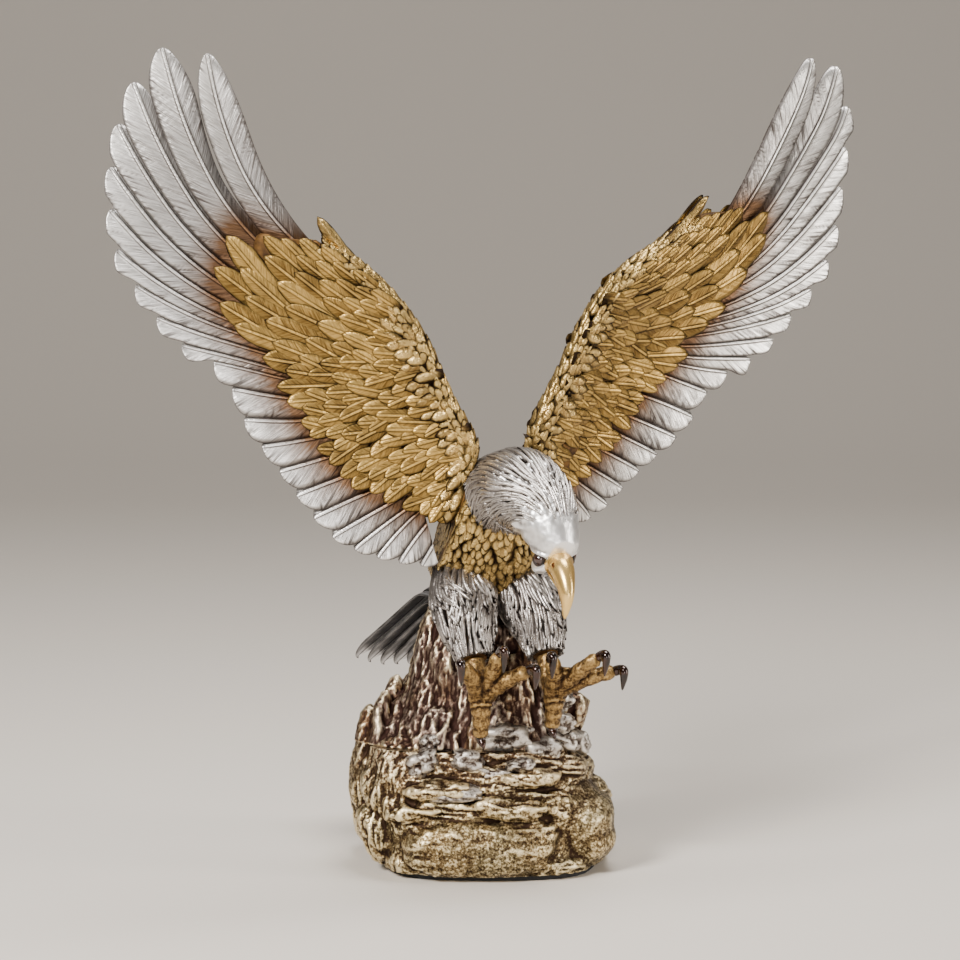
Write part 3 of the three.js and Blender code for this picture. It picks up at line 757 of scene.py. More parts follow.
def feather_finish(name, light, body, shade, stain, rough, grooves, blotch, rim_light=0.0, quill=0.8,
                   lumps=0.0):
    """Cast feathers, leafed, flooded with a brown wash and rubbed back: bright high parts, dark cuts, with
    painted highlights on tips and rims and painted shade from the tone mark.
    """
    material, tree, shader = new_material(name)
    barb = add(tree, "SeparateXYZ", _0=add(tree, "Attribute", {"attribute_name": "barb"}).outputs["Vector"])
    tone = add(tree, "SeparateXYZ", _0=add(tree, "Attribute", {"attribute_name": "tone"}).outputs["Vector"])
    leaf = add(tree, "Attribute", {"attribute_name": "leaf"}).outputs["Fac"]
    # fine barbs 0.8 mm apart, slanting from the quill towards the tip
    outwards = add(tree, "Math", {"operation": "ABSOLUTE"}, _0=barb.outputs[0])
    line = add(tree, "Math", {"operation": "MULTIPLY_ADD", 1: -1.25}, _0=outwards, _2=barb.outputs[1])
    drift = add(tree, "Math", {"operation": "MULTIPLY", 1: 0.16}, _0=barb.outputs[0])
    seed = add(tree, "Math", {"operation": "MULTIPLY", 1: 90.0}, _0=barb.outputs[2])
    across = add(tree, "CombineXYZ", X=line, Y=drift, Z=seed)
    coarse = add(tree, "TexNoise", {"Scale": 0.55, "Detail": 2.0, "Roughness": 0.6}, Vector=across)
    fine = add(tree, "TexNoise", {"Scale": 1.3, "Detail": 1.0}, Vector=across)
    cut = add(tree, "MapRange", {"From Min": 0.46, "From Max": 0.36}, Value=coarse)
    hair = add(tree, "MapRange", {"From Min": 0.3, "From Max": 0.6}, Value=fine)
    near_edge = add(
        tree, "MapRange", {"From Min": 0.15, "From Max": 0.75, "To Min": 0.25}, Value=tone.outputs[2],
    )
    cut_here = add(tree, "Math", {"operation": "MULTIPLY"}, _0=cut, _1=near_edge)
    cut_wash = add(tree, "Math", {"operation": "MULTIPLY", 1: grooves}, _0=cut_here)
    # the wash also pools in blotches about 9 mm across
    place = add(tree, "TexCoord").outputs["Object"]
    spots = add(tree, "TexNoise", {"Scale": 1 / (9 * MM), "Detail": 3.0}, Vector=place)
    blot = add(tree, "MapRange", {"From Min": 0.4, "From Max": 0.75, "To Max": blotch}, Value=spots)
    # the tone's second mark holds the wash together with painted shade under neighbouring feathers and round
    # their rims
    wash = add(tree, "Math", {"operation": "MAXIMUM"}, _0=tone.outputs[1], _1=cut_wash)
    # a bright quill half a millimetre wide with the wash lying in a line along each side of it
    beside = add(tree, "MapRange", {"From Min": 0.38, "From Max": 0.62}, Value=outwards)
    clear = add(tree, "MapRange", {"From Min": 1.25, "From Max": 0.8}, Value=outwards)
    lines = add(tree, "Math", {"operation": "MULTIPLY"}, _0=beside, _1=clear)
    lines = add(tree, "Math", {"operation": "MULTIPLY", 1: quill}, _0=lines)
    wash = add(tree, "Math", {"operation": "MAXIMUM"}, _0=wash, _1=lines)
    ridge = add(tree, "MapRange", {"From Min": 0.5, "From Max": 0.32, "To Max": 0.9 * quill}, Value=outwards)
    washed = add(tree, "Math", {"operation": "ADD", "use_clamp": True}, _0=wash, _1=blot)
    # rubbed leaf, brightest on the quills and on some whole feathers; painted highlights at the tips and
    # along the rims
    rim = add(
        tree, "MapRange", {"From Min": 0.7, "From Max": 0.88, "To Max": rim_light}, Value=tone.outputs[2],
    )
    shine = add(tree, "Math", {"operation": "MAXIMUM"}, _0=leaf, _1=rim)
    shine = add(tree, "Math", {"operation": "MAXIMUM"}, _0=shine, _1=ridge)
    soft = add(tree, "Math", {"operation": "MULTIPLY_ADD", 1: 0.25, "use_clamp": True}, _0=hair, _2=shine)
    metal_colour = add(tree, "MixRGB", {1: linear(body), 2: linear(light)}, Fac=soft)
    # brown stain bleeding out from under the gold, over about 12 mm
    reach = add(tree, "Math", {"operation": "MULTIPLY_ADD", 1: -9.0}, _0=coarse, _2=tone.outputs[0])
    bleed = add(tree, "MapRange", {"From Min": 9.0, "From Max": -4.0, "To Max": 0.92}, Value=reach)
    stained = add(tree, "MixRGB", {"blend_type": "MULTIPLY", 2: linear(stain)}, Fac=bleed, _1=metal_colour)
    colour = add(tree, "MixRGB", {2: linear(shade)}, Fac=washed, _1=stained)
    dull = add(tree, "MapRange", {"To Min": rough, "To Max": min(rough + 0.35, 1)}, Value=washed)
    height = add(tree, "Math", {"operation": "MULTIPLY_ADD", 1: -1.0}, _0=cut_here, _2=hair)
    bump = add(tree, "Bump", {"Strength": 0.3, "Distance": 0.25 * MM}, Height=height)
    # the crumple of thick leaf over a rough casting, 1.5 mm from dent to dent
    dents = add(tree, "TexNoise", {"Scale": 1 / (1.5 * MM), "Detail": 2.0}, Vector=place)
    bump = add(tree, "Bump", {"Strength": lumps, "Distance": 0.6 * MM}, Height=dents, Normal=bump)
    dress(tree, shader, 0.9, Base_Color=colour, Roughness=dull, Normal=bump)
    return material


def relief_finish(name, light, body, shade, grain, speck, rough, cover, stretch=(1, 1, 1), tint=None,
                  depth=0.35, upper=None):
    """Dark wash left in each hollow and bright leaf rubbed over what stands proud, broken up by grain."""
    material, tree, shader = new_material(name)
    relief = add(tree, "Attribute", {"attribute_name": "relief"}).outputs["Fac"]
    place = add(tree, "Mapping", {"Scale": stretch}, Vector=add(tree, "TexCoord").outputs["Object"])
    grains = add(tree, "TexNoise", {"Scale": 1 / (grain * MM), "Detail": 6.0, "Roughness": 0.7}, Vector=place)
    patches = add(tree, "TexNoise", {"Scale": 1 / (14 * MM), "Detail": 3.0}, Vector=place)
    rubbed = add(tree, "Math", {"operation": "MULTIPLY_ADD", 1: speck}, _0=grains, _2=relief)
    start = cover + 0.5 * speck
    high = add(tree, "MapRange", {"From Min": start - 0.12, "From Max": start + 0.16}, Value=rubbed)
    higher = add(tree, "MapRange", {"From Min": start + 0.1, "From Max": start + 0.34}, Value=rubbed)
    tone = add(tree, "MapRange", {"From Min": 0.4, "From Max": 0.6}, Value=patches)
    middle = add(tree, "MixRGB", {1: linear(body), 2: linear(tint or body)}, Fac=tone)
    bright = {}
    if upper:
        # the colours change with height, from the first named height in mm to the second
        height = add(tree, "SeparateXYZ", _0=add(tree, "TexCoord").outputs["Object"]).outputs[2]
        risen = add(tree, "MapRange", {"From Min": upper[2] * MM, "From Max": upper[3] * MM}, Value=height)
        bright["_2"] = add(tree, "MixRGB", {1: linear(light), 2: linear(upper[0])}, Fac=risen)
        middle = add(tree, "MixRGB", {2: linear(upper[1])}, Fac=risen, _1=middle)
    lower = add(tree, "MixRGB", {1: linear(shade)}, Fac=high, _2=middle)
    colour = add(tree, "MixRGB", {2: linear(light)}, Fac=higher, _1=lower, **bright)
    dull = add(tree, "MapRange", {"To Min": rough + 0.25, "To Max": rough}, Value=high)
    bump = add(tree, "Bump", {"Strength": 0.7, "Distance": depth * MM}, Height=grains)
    dress(tree, shader, 0.85, Base_Color=colour, Roughness=dull, Normal=bump)
    return material


def plain_finish(name, colour, other, rough, metallic, grain, bump_depth, stretch=(1, 1, 1), coat=0.0):
    """A single finish with a fine mottle of its own colour and grain."""
    material, tree, shader = new_material(name)
    place = add(tree, "Mapping", {"Scale": stretch}, Vector=add(tree, "TexCoord").outputs["Object"])
    mottle = add(tree, "TexNoise", {"Scale": 1 / (grain * MM), "Detail": 4.0}, Vector=place)
    share = add(tree, "MapRange", {"From Min": 0.35, "From Max": 0.65}, Value=mottle)
    mixed = add(tree, "MixRGB", {1: linear(colour), 2: linear(other)}, Fac=share)
    dull = add(tree, "MapRange", {"To Min": rough * 0.8, "To Max": min(rough * 1.25, 1)}, Value=mottle)
    shader.inputs["Coat Weight"].default_value = coat
    shader.inputs["Coat Roughness"].default_value = 0.05
    bump = add(tree, "Bump", {"Strength": 0.5, "Distance": bump_depth * MM}, Height=mottle)
    dress(tree, shader, metallic, Base_Color=mixed, Roughness=dull, Normal=bump)
    return material


# Silver leaf over cast resin: cool, with painted highlights at the tips, the wash brown-black in the cuts.
SILVER_FLIGHT = feather_finish(
    "antiqued_silver_leaf", "#F4F1ED", "#78736F", "#261812", "#8A5A1C", rough=0.32, grooves=0.75,
    blotch=0.16,
)
# Gold leaf, satin and slightly green, with a red-brown wash: long smooth feathers.
GOLD_COVERT = feather_finish(
    "antiqued_gold_leaf", "#D9B264", "#533914", "#1E1205", "#8A5A20", rough=0.3, grooves=0.25,
    rim_light=0.7, blotch=0.45, quill=0.6, lumps=0.2,
)
# The same gold with a brighter light colour.
GOLD_SCALE = feather_finish(
    "rubbed_gold_leaf", "#FBD98C", "#6E4C1C", "#1E1105", "#7A4E1C", rough=0.25, grooves=0.2, rim_light=0.6,
    blotch=0.6, quill=0.0, lumps=0.8,
)
# Silver over black: the neck, thighs and belly, where most of the wash is left.
SILVER_LOCK = feather_finish(
    "blackened_silver_leaf", "#E6E0DA", "#786F69", "#1A110E", "#3A2418", rough=0.27, grooves=0.15,
    blotch=0.4, quill=0.0,
)
# Pewter: dark grey metal with a painted highlight along each edge.
PEWTER_TAIL = feather_finish(
    "rubbed_pewter", "#E2E0E0", "#8E8B8E", "#1B1614", "#2A2220", rough=0.33, grooves=0.5, rim_light=0.9,
    blotch=0.2,
)
# Bright silver, burnished smooth over the crown and washed dark in the hollows of the face.
SILVER_HEAD = relief_finish(
    "burnished_silver", "#FBFAF9", "#C9C6C3", "#3A2A22", grain=3, speck=0.2, rough=0.36, cover=0.32,
    depth=0.12, stretch=(1.6, 1, 0.7),
)
# Bronze-brown cast stone rubbed with champagne gold: speckled all over, bright along the ledges.
STONE_GOLD = relief_finish(
    "champagne_rubbed_stone", "#F0DDB0", "#8C754E", "#2A1A0E", grain=1.1, speck=1.6, rough=0.3,
    tint="#80714F", cover=0.46, upper=("#DECBA4", "#644A33", 26, 50),
)
# The same casting where silver leaf was rubbed over single stones.
STONE_SILVER = relief_finish(
    "silver_rubbed_stone", "#CFC8BE", "#756B62", "#2E2018", grain=1.2, speck=1.3, rough=0.36,
    tint="#64584F", cover=0.42,
)
# Fibrous broken wood: the wash runs with the grain and the leaf sits on the ridges.
WOOD_WASH = relief_finish(
    "washed_bronze_wood", "#DCCBA8", "#6E5238", "#2A1710", stretch=(1, 1, 0.3), grain=1.5, speck=0.8,
    rough=0.34, tint="#857468", cover=0.54,
)
# Matt ochre gold with a brown wash between the scales.
FOOT_GOLD = relief_finish(
    "ochre_gold_skin", "#B0905A", "#5C4326", "#2A1A0C", grain=0.7, speck=0.7, rough=0.42, tint="#6E5432",
    cover=0.42, depth=0.2,
)
# Horn: dark lacquered bronze, glossy enough to carry a sharp highlight.
CLAW_HORN = plain_finish(
    "lacquered_bronze_horn", "#150906", "#3A1E10", rough=0.13, metallic=0.7, grain=3.0,
    bump_depth=0.05, coat=0.8,
)
# Smooth pale gold, polished, a shade deeper in patches.
BEAK_GOLD = relief_finish(
    "polished_pale_gold", "#F2CC80", "#C4862F", "#4E2A0C", grain=7, speck=0.2, rough=0.26, tint="#D09A45",
    cover=0.30, depth=0.05,
)
# Brown-black wash run into the rim of the eye.
DARK_LINE = plain_finish(
    "black_wash", "#140C08", "#2A1A10", rough=0.5, metallic=0.2, grain=2.0, bump_depth=0.05,
)
# Dark amber glass.
EYE_GLASS = plain_finish(
    "dark_amber_glass", "#1A0703", "#3C1606", rough=0.06, metallic=0.0, grain=5.0, bump_depth=0.0, coat=1.0,
)
# Zinc-plated steel, drawn, so the scratches run along it.
ZINC_STEEL = plain_finish(
    "zinc_plated_steel", "#A7A9AC", "#85878A", rough=0.38, metallic=1.0, grain=0.8,
    bump_depth=0.03, stretch=(1, 1, 0.1),
)
# Closed-cell foam, matt with pores about half a millimetre across.
FOAM_RUBBER = plain_finish(
    "closed_cell_foam", "#1B1B1D", "#28282A", rough=0.95, metallic=0.0, grain=0.5, bump_depth=0.2,
)
# Pressed fibre board.
FIBRE_BOARD = plain_finish(
    "pressed_fibre_board", "#3D342B", "#54483A", rough=0.85, metallic=0.0, grain=1.2, bump_depth=0.1,
)
# What the torso's casting shows between its feathers: gold flooded with the brown wash.
CORE_GOLD = plain_finish(
    "washed_gold_casting", "#6E4D20", "#3A2510", rough=0.55, metallic=0.7, grain=4.0, bump_depth=0.3,
)

# ---------------------------------------------------------------- wings
flight_blank = blank("flight_blank", 16, 130)
arm_blank = blank("arm_blank", 12, 56)
covert_blank = blank("covert_blank", 8, 14)
lock_blank = blank("lock_blank", 4, 9)
scale_blank = blank("scale_blank", 4, 5)
BLANKS = (flight_blank, arm_blank, covert_blank, lock_blank, scale_blank)
flight_sheet, arm_sheet, covert_sheet, lock_sheet, scale_sheet = (corners(spare) for spare in BLANKS)

for side in SIDES:
    wing = Wing(side)
    body = wing.body
    finish_piece(wing_core(wing), body, CORE_GOLD, "gold", body)
    primaries = [flight_feather(wing, k, flight_sheet) for k in range(HAND)]
    plumage(body + "_primaries", flight_blank, primaries, body, SILVER_FLIGHT, "silver")
    secondaries = [flight_feather(wing, k, arm_sheet) for k in range(HAND, FEATHERS)]
    plumage(body + "_secondaries", arm_blank, secondaries, body, SILVER_FLIGHT, "silver")
    for face, word in ((1, "front"), (-1, "back")):
        broad, small = gold_coverts(wing, covert_sheet, scale_sheet, face)
        plumage(f"{body}_{word}_coverts", covert_blank, broad, body, GOLD_COVERT, "gold")
        plumage(f"{body}_{word}_scales", scale_blank, small, body, GOLD_SCALE, "gold")
    plumage(body + "_edge_scales", scale_blank, edge_scales(wing, scale_sheet), body, GOLD_SCALE, "gold")
    thumb = thumb_feathers(wing, covert_sheet)
    plumage(body + "_thumb_feathers", covert_blank, thumb, body, GOLD_SCALE, "gold")

# ---------------------------------------------------------------- the bird's body
TRUNK = Limb([[0, 16, 104], [0, 8, 112], [0, -8, 128], [0, -20, 144], [0, -28, 157], [0, -31, 165]],
             [[8, 7], [18, 13], [24, 20], [24, 20], [20, 16], [12, 9]])
HEAD = Limb([[-0.5, -27, 151], [3, -38, 155], [7, -49, 149.5], [9, -58, 140], [9.8, -65, 130]],
            [[16.5, 16], [17, 15.5], [14, 13], [11, 11], [6.5, 7.5]])
NECK_SEAT, NECK_LEAN = np.array([0, -30, 154.5]), unit([0.15, -0.72, 0.68])
BEAK_SEAT, BEAK_LINE = np.array([9.4, -64, 129]), unit([0, -0.85, -0.53])
EYE_RADIUS, EYE_MIDDLE = 2.6, np.array([9.6, -58.8, 130.6])
EYE_ACROSS = np.array([math.cos(math.radians(12)), math.sin(math.radians(12)), 0])
EYES = {side: EYE_MIDDLE + EYE_ACROSS * side * 6.7 for side in SIDES}
TAIL_SEAT = np.array([0, 15, 105])
TAIL_BACK = np.array([0, math.cos(math.radians(29)), -math.sin(math.radians(29))])
TAIL_UP = np.cross([1, 0, 0], TAIL_BACK)
ANKLE_LINE = unit([0, -0.5, -0.87])
ANKLES = {side: np.array([side * 15, -35, 88]) for side in SIDES}
THIGHS = {side: Limb([[side * 11, -10, 120], [side * 14, -20, 108], [side * 15, -29, 97], ANKLES[side]],
                     [[11, 11], [12, 12], [9.5, 10], [5, 5]]) for side in SIDES}


def beyond(p, point, normal):
    """How far points are past a plane."""
    return (np.asarray(p) - point) @ normal


def laid_on(limb, sheet, t, angle, length, width, flow=1, turn=0.0, lift=0.2, wave=0.0, phase=0.0, bright=0.0,
            rim=0.955, under=0.85, **shape):
    """A feather on a limb: its root at (t, angle), its tip towards the limb's end (flow 1) or its start."""
    x, y, z, edge = feather(sheet, length, width / 2, width / 2, **shape)
    x_bent = x + wave * (np.sin(y / 3.2 + phase) - math.sin(phase))
    c, s = math.cos(turn), math.sin(turn)
    girth = float(limb.girth(np.array(t), np.array(angle)))
    along = t + flow * (y * c - x_bent * s) / limb.line.length
    around = angle + (x_bent * c + y * s) / girth
    marks = covert_marks(sheet, x, y, length, edge, np.zeros_like(x), bright, rim, under)
    return from_bird(limb.at(along, around, lift + z)) * MM, *marks


def swirl(spot, scale=11.0):
    """A slow drift between -1 and 1, so that neighbouring locks bend the same way."""
    return 1.6 * noise.noise(Vector(spot / scale))


def rows_on(limb, low, high, row, pitch):
    """Places on a limb in slightly uneven rows, a set distance apart in the row and from row to row."""
    spots = []
    for n in range(int((high - low) * limb.line.length / row) + 1):
        t = low + n * row / limb.line.length
        _, _, wide, tall = limb.frame_at(np.array(t))
        count = max(5, int(2 * math.pi * math.sqrt((wide**2 + tall**2) / 2) / pitch))
        for m in range(count):
            spots.append((t + random.uniform(-0.2, 0.2) * row / limb.line.length,
                          (m + 0.5 * (n % 2) + random.uniform(-0.2, 0.2)) / count * 2 * math.pi))
    return spots


# ---------------------------------------------------------------- torso feathers
breast = []
for t, angle in rows_on(TRUNK, 0.08, 0.97, row=2.5, pitch=3.0):
    spot = TRUNK.at(t, angle)
    if beyond(spot, NECK_SEAT, NECK_LEAN) > 1.0 or spot[2] < 105:
        continue
    if any(np.linalg.norm(spot - SEAT[side]) < 13 for side in SIDES):
        continue
    if any(np.linalg.norm(spot - THIGHS[side].line.at(0.1)) < 8 for side in SIDES):
        continue
    places, *marks = laid_on(
        TRUNK, scale_sheet, t, angle, random.uniform(4, 6.8), random.uniform(2.8, 4.2), flow=-1,
        turn=random.uniform(-0.5, 0.5), rise=1.1, arch=0.3, thick=0.6, quill=0.25, tip=(2.6, 2.6),
        curl=random.uniform(-0.6, 0.3), bright=0.3 * random.random(),
    )
    for side in SIDES:
        # the flanks are cut flat where the wings plug in, and their feathers lie on the cut
        past = beyond(places / MM, from_bird(SEAT[side]), turned_with_bird(pull(side)))
        places = places - (np.maximum(past + 0.3, 0) * 0.9)[:, None] * turned_with_bird(pull(side)) * MM
    breast.append((places, *marks))
plumage("breast_feathers", scale_blank, breast, BODY, GOLD_SCALE, "gold")

for side, word in SIDES.items():
    limb, locks = THIGHS[side], []
    for t, angle in rows_on(limb, 0.0, 0.93, row=3.6, pitch=2.3):
        spot = limb.at(t, angle)
        inside = np.linalg.norm((TRUNK.line.points - spot), axis=1).min() < 9
        if inside or spot[1] > 6:
            continue
        drift = swirl(spot)
        length = min(random.uniform(14, 21) * (1 - 0.3 * t), 3 + (1.05 - t) * limb.line.length)
        locks.append(laid_on(
            limb, lock_sheet, t, angle, length, random.uniform(2.2, 3.2),
            turn=0.55 * drift + random.uniform(-0.1, 0.1), wave=0.6, phase=3 * drift, lift=0.2, rise=1.6,
            arch=0.7, thick=0.9, rim=0.7, quill=0.3, tip=(8, 8), curl=random.uniform(-0.9, 0.5),
            bright=0.5 * max(swirl(spot, 6.0), 0), blunt=1.4,
        ))
    plumage(word + "_thigh_feathers", lock_blank, locks, BODY, SILVER_LOCK, "silver")


# ---------------------------------------------------------------- head
def shoulder_cuts(thing):
    """Cuts a form flat at both wing seats and opens the sockets."""
    for side in SIDES:
        cut_away(thing, SEAT[side], pull(side))
        carve(thing, tenon(side, GAP))


def dowel_hole(thing, point, line):
    """Drills for the pin of a glued joint."""
    carve(thing, shape_rod(DOWEL_RADIUS + GAP, DOWEL_LENGTH + 2 * GAP, point + line * GAP / 2, line))


def skull():
    """The head as one skin: crown, forehead, brows over the eyes and cheeks under them."""
    parts = [shape_limb(HEAD, 40, 36)]
    forehead = [[9.4, -56, 141], [9.5, -62, 137.5], [9.4, -66, 133.8]]
    parts.append(shape_limb(Limb(forehead, [(9, 7), (7.4, 4.6), (5.0, 2.4)]), 24, 20))
    for side in SIDES:
        centre = EYES[side]
        brow = [centre + np.array([-side * 2.4, 10, 7.5]), centre + np.array([side * 0.2, 3.6, 4.2]),
                centre + np.array([side * 0.3, -2.0, 2.7]), centre + np.array([-side * 2.4, -5.8, 1.6])]
        parts.append(shape_limb(Limb(brow, [(3, 2.4), (3.0, 1.8), (2.9, 1.2), (1.8, 1.0)]), 16, 14))
        cheek = [centre + np.array([-side * 1.4, 7, -3.6]), centre + np.array([-side * 0.2, 1.5, -3.9]),
                 centre + np.array([-side * 2.4, -4.0, -2.6])]
        parts.append(shape_limb(Limb(cheek, [(3.4, 3.6), (2.6, 2.0), (1.6, 1.4)]), 16, 12))
    return fuse("skull", parts, voxel=0.55, rounds=5)


head = skull()
p, n = corners(head) / MM, outward(head)
behind_face = beyond(p, from_bird(np.array([9.5, -56, 136])), turned_with_bird(np.array([0, 0.6, 0.8])))
back_from_face = ease((behind_face + 2) / 16)
strand = noise_at(p * (0.55, 0.14, 0.45))
move_corners(head, (p + n * (strand * (0.15 + 0.9 * back_from_face))[:, None]) * MM)
cut_away(head, NECK_SEAT + NECK_LEAN * GAP, -NECK_LEAN)
shoulder_cuts(head)
cut_away(head, BEAK_SEAT, BEAK_LINE)
dowel_hole(head, NECK_SEAT, NECK_LEAN)
for side in SIDES:
    socket = start_from(bpy.ops.mesh.primitive_uv_sphere_add, segments=28, ring_count=18, radius=1)
    move_corners(socket, from_bird(corners(socket) * (EYE_RADIUS + 0.25) + EYES[side]) * MM)
    carve(head, socket)
mark_relief(head, 0.5)
finish_piece(head, BODY, SILVER_HEAD, "silver", "head")

hackles = []
for t, angle in rows_on(HEAD, 0.06, 0.76, row=2.7, pitch=1.8):
    spot = HEAD.at(t, angle)
    crown = 0.5 - 0.5 * math.sin(angle)
    if any(beyond(spot, SEAT[side], pull(side)) > -2.5 for side in SIDES) or t > 0.52 + 0.24 * crown:
        continue
    drift = swirl(spot)
    hackles.append(laid_on(
        HEAD, lock_sheet, t, angle, random.uniform(15, 23) * (1.05 - 0.6 * t), random.uniform(1.5, 2.3),
        flow=-1, turn=0.9 * math.cos(angle) * (0.35 + t) + 0.35 * drift, wave=0.6, phase=4 * drift,
        lift=-0.35,
        rise=1.6 - 0.7 * t, arch=0.65, thick=0.85, quill=0.35, tip=(9, 9), curl=random.uniform(-0.5, 0.4),
        root=0.25, bright=max(0.9 * t - 0.15, 0.0), blunt=1.4, rim=0.7,
        under=0.9 - 0.9 * float(ease((t - 0.3) / 0.35)),
    ))
plumage("hackles", lock_blank, hackles, BODY, SILVER_LOCK, "silver")

for side, word in SIDES.items():
    ball = start_from(bpy.ops.mesh.primitive_uv_sphere_add, segments=40, ring_count=24, radius=1)
    p = corners(ball)
    cornea = 1 + 0.03 * (p @ EYE_ACROSS * side > 0.8)
    move_corners(ball, from_bird(p * EYE_RADIUS * cornea[:, None] + EYES[side]) * MM)
    finish_piece(join("eye_ball_" + word, [ball]), BODY, EYE_GLASS, "eye", "eye_" + word)
    # the lid: a thin rolled rim round the glass
    lid = start_from(
        bpy.ops.mesh.primitive_torus_add, major_radius=EYE_RADIUS, minor_radius=0.5, major_segments=48,
        minor_segments=12,
    )
    facing = unit(EYE_ACROSS * side + np.array([0, -0.45, 0.05]))
    turn = np.array(Vector((0, 0, 1)).rotation_difference(Vector(facing)).to_matrix())
    p = corners(lid) * np.array([1, 0.86, 1])
    move_corners(lid, from_bird(p @ turn.T + EYES[side] + facing * 1.25) * MM)
    finish_piece(join("eyelid_" + word, [lid]), BODY, DARK_LINE, "silver")

# ---------------------------------------------------------------- beak
UPPER = Limb([[9.0, -61, 131], [8.6, -70, 126.4], [8.0, -75.3, 118], [7.4, -74.3, 108.5]],
             [[5.8, 5.0], [4.6, 4.8], [2.8, 4.0], [0.6, 0.8]])
CULMEN = Limb([[9.6, -65, 132.6], [9.4, -71.8, 129], [8.7, -77.6, 120.5], [7.6, -76.3, 111]],
              [[1.7, 1.4], [1.5, 1.3], [1.1, 1.1], [0.5, 0.5]])
LOWER = Limb(
    [[9.4, -61, 126.2], [9.1, -67.5, 121.6], [8.8, -71.6, 116.6]], [[4.6, 2.4], [3.4, 1.9], [1.2, 1.0]],
)
CERE = Limb([[9.0, -62, 130.2], [8.7, -66.6, 128.0]], [[6.4, 5.6], [5.6, 5.0]])
parts = [shape_limb(UPPER, 32, 30), shape_limb(CULMEN, 20, 24), shape_limb(LOWER, 24, 20)]
parts.append(shape_limb(CERE, 32, 14, 0.3))
beak = fuse("beak_horn", parts, voxel=0.4, rounds=3)
for side in SIDES:
    slot = Limb(
        [[8.9 + side * 4.4, -68.6, 130.4], [8.8 + side * 4.6, -70.6, 128.2]], [(1.2, 0.9), (1.0, 0.7)],
    )
    carve(beak, shape_limb(slot, 12, 8, 0.3))
    gape = [
        [9.2 + side * 5.4, -62.5, 126.0], [8.9 + side * 4.8, -67.4, 122.6],
        [8.6 + side * 3.4, -72.0, 118.0],
    ]
    carve(beak, shape_limb(Limb(gape, [(1.2, 0.5), (1.2, 0.45), (0.9, 0.35)]), 12, 12))
cut_away(beak, BEAK_SEAT + BEAK_LINE * GAP, -BEAK_LINE)
mark_relief(beak, 0.3)
finish_piece(beak, BODY, BEAK_GOLD, "horn_gold", "beak")


# ---------------------------------------------------------------- tail
def tail_point(across, back, up):
    """A place given across, behind and above the tail's seat, in metres."""
    p = TAIL_SEAT + across[:, None] * np.array([1, 0, 0]) + back[:, None] * TAIL_BACK + up[:, None] * TAIL_UP
    return from_bird(p) * MM


def tail_feather(sheet, k, count, length, width, lift, spread=31.0):
    """One tail feather, its place in the fan given as a share from one side to the other."""
    u = 2 * (k + 0.5) / count - 1
    x, y, z, edge = feather(
        sheet, length - 5 * u * u, width, width, tip=(18, 18), arch=0.5, thick=1.4, quill=0.5, tilt=0.9,
        root=0.7, curl=random.uniform(-0.3, 0.5),
    )
    a, b = sheet[:, 0], sheet[:, 1]
    cuts = strokes(x, y, a, length, int(length / 5), reach=(0.4, 0.8))
    v = y / 74.0
    centre = u * (6.5 + (spread - 9.5) * v**1.15)
    far = (1 - b) * length
    # painted shade round the rim and on the leading side, which lies under the next feather; darker towards
    # the root
    outline = ease((edge - 0.94) / 0.05) * 0.8
    wash = deepest(ease((-x - 2.2) / 1.5) * 0.6, 0.8 * cuts, outline, 0.35 * ease(far / length))
    marks = barb_and_tone(x, y, UNSTAINED, wash, edge)
    cup = u * u * (14 - 10 * v) * ease(v / 0.25)
    # the last mark is a painted highlight at the tip
    return tail_point(centre + x, y + 0.6, cup + lift + z), *marks, 0.6 * np.exp(-far / 9)


fan = [tail_feather(flight_sheet, k, 9, 78, 6.6, 0.3) for k in range(9)]
plumage("tail_feathers", flight_blank, fan, BODY, PEWTER_TAIL, "dark_silver")
short = [tail_feather(arm_sheet, k, 8, 40, 4.0, lift, 20) for k in range(8) for lift in (2.6, -2.0)]
short += [tail_feather(arm_sheet, k, 7, 24, 3.4, lift, 18) for k in range(7) for lift in (4.4, -3.4)]
plumage("tail_coverts", arm_blank, short, BODY, PEWTER_TAIL, "dark_silver")
rump_form = Limb([TAIL_SEAT + TAIL_BACK * d for d in (-6, 6, 24)], [(11, 6.4), (11, 5.2), (6, 1.6)])
rump = shape_limb(rump_form, 24, 18)
cut_away(rump, TAIL_SEAT + TAIL_BACK * GAP, -TAIL_BACK)
dowel_hole(rump, TAIL_SEAT, TAIL_BACK)
mark_relief(rump, 0.5)
finish_piece(join("tail_root", [rump]), BODY, CORE_GOLD, "dark_silver", "tail")

# ---------------------------------------------------------------- feet
# the reach of each toe from the ball of the foot, the hind toe last
FEET = {
    RIGHT: ("right_foot", [[3, -14, 19], [14.5, -16, 12], [-11.5, -9, 14], [0.7, 2, -17]]),
    LEFT: ("left_foot", [[-6, -11, 15], [12, -18, 16], [21, -13, 9], [-0.3, 2, -15]]),
}


def toe_lines(palm, toe):
    """A toe's middle line and its claw's, from the ball of the foot."""
    reach, hind = np.array(toe, float), toe[2] < 0
    end = palm + reach
    middle = palm + reach * 0.55 + np.array([0, -1 if hind else -2.5, 0 if hind else 1.5])
    out = end + unit(reach) * 2 + np.array([0, -3.4, -0.8])
    tip = end + np.array([unit(reach)[0] * 1.6, -3.2, -4 if hind else -7.5])
    return [palm, middle, end], [end - unit(reach) * 1.2, end + unit(reach) * 1.4 + [0, -1.4, 0.2], out, tip]


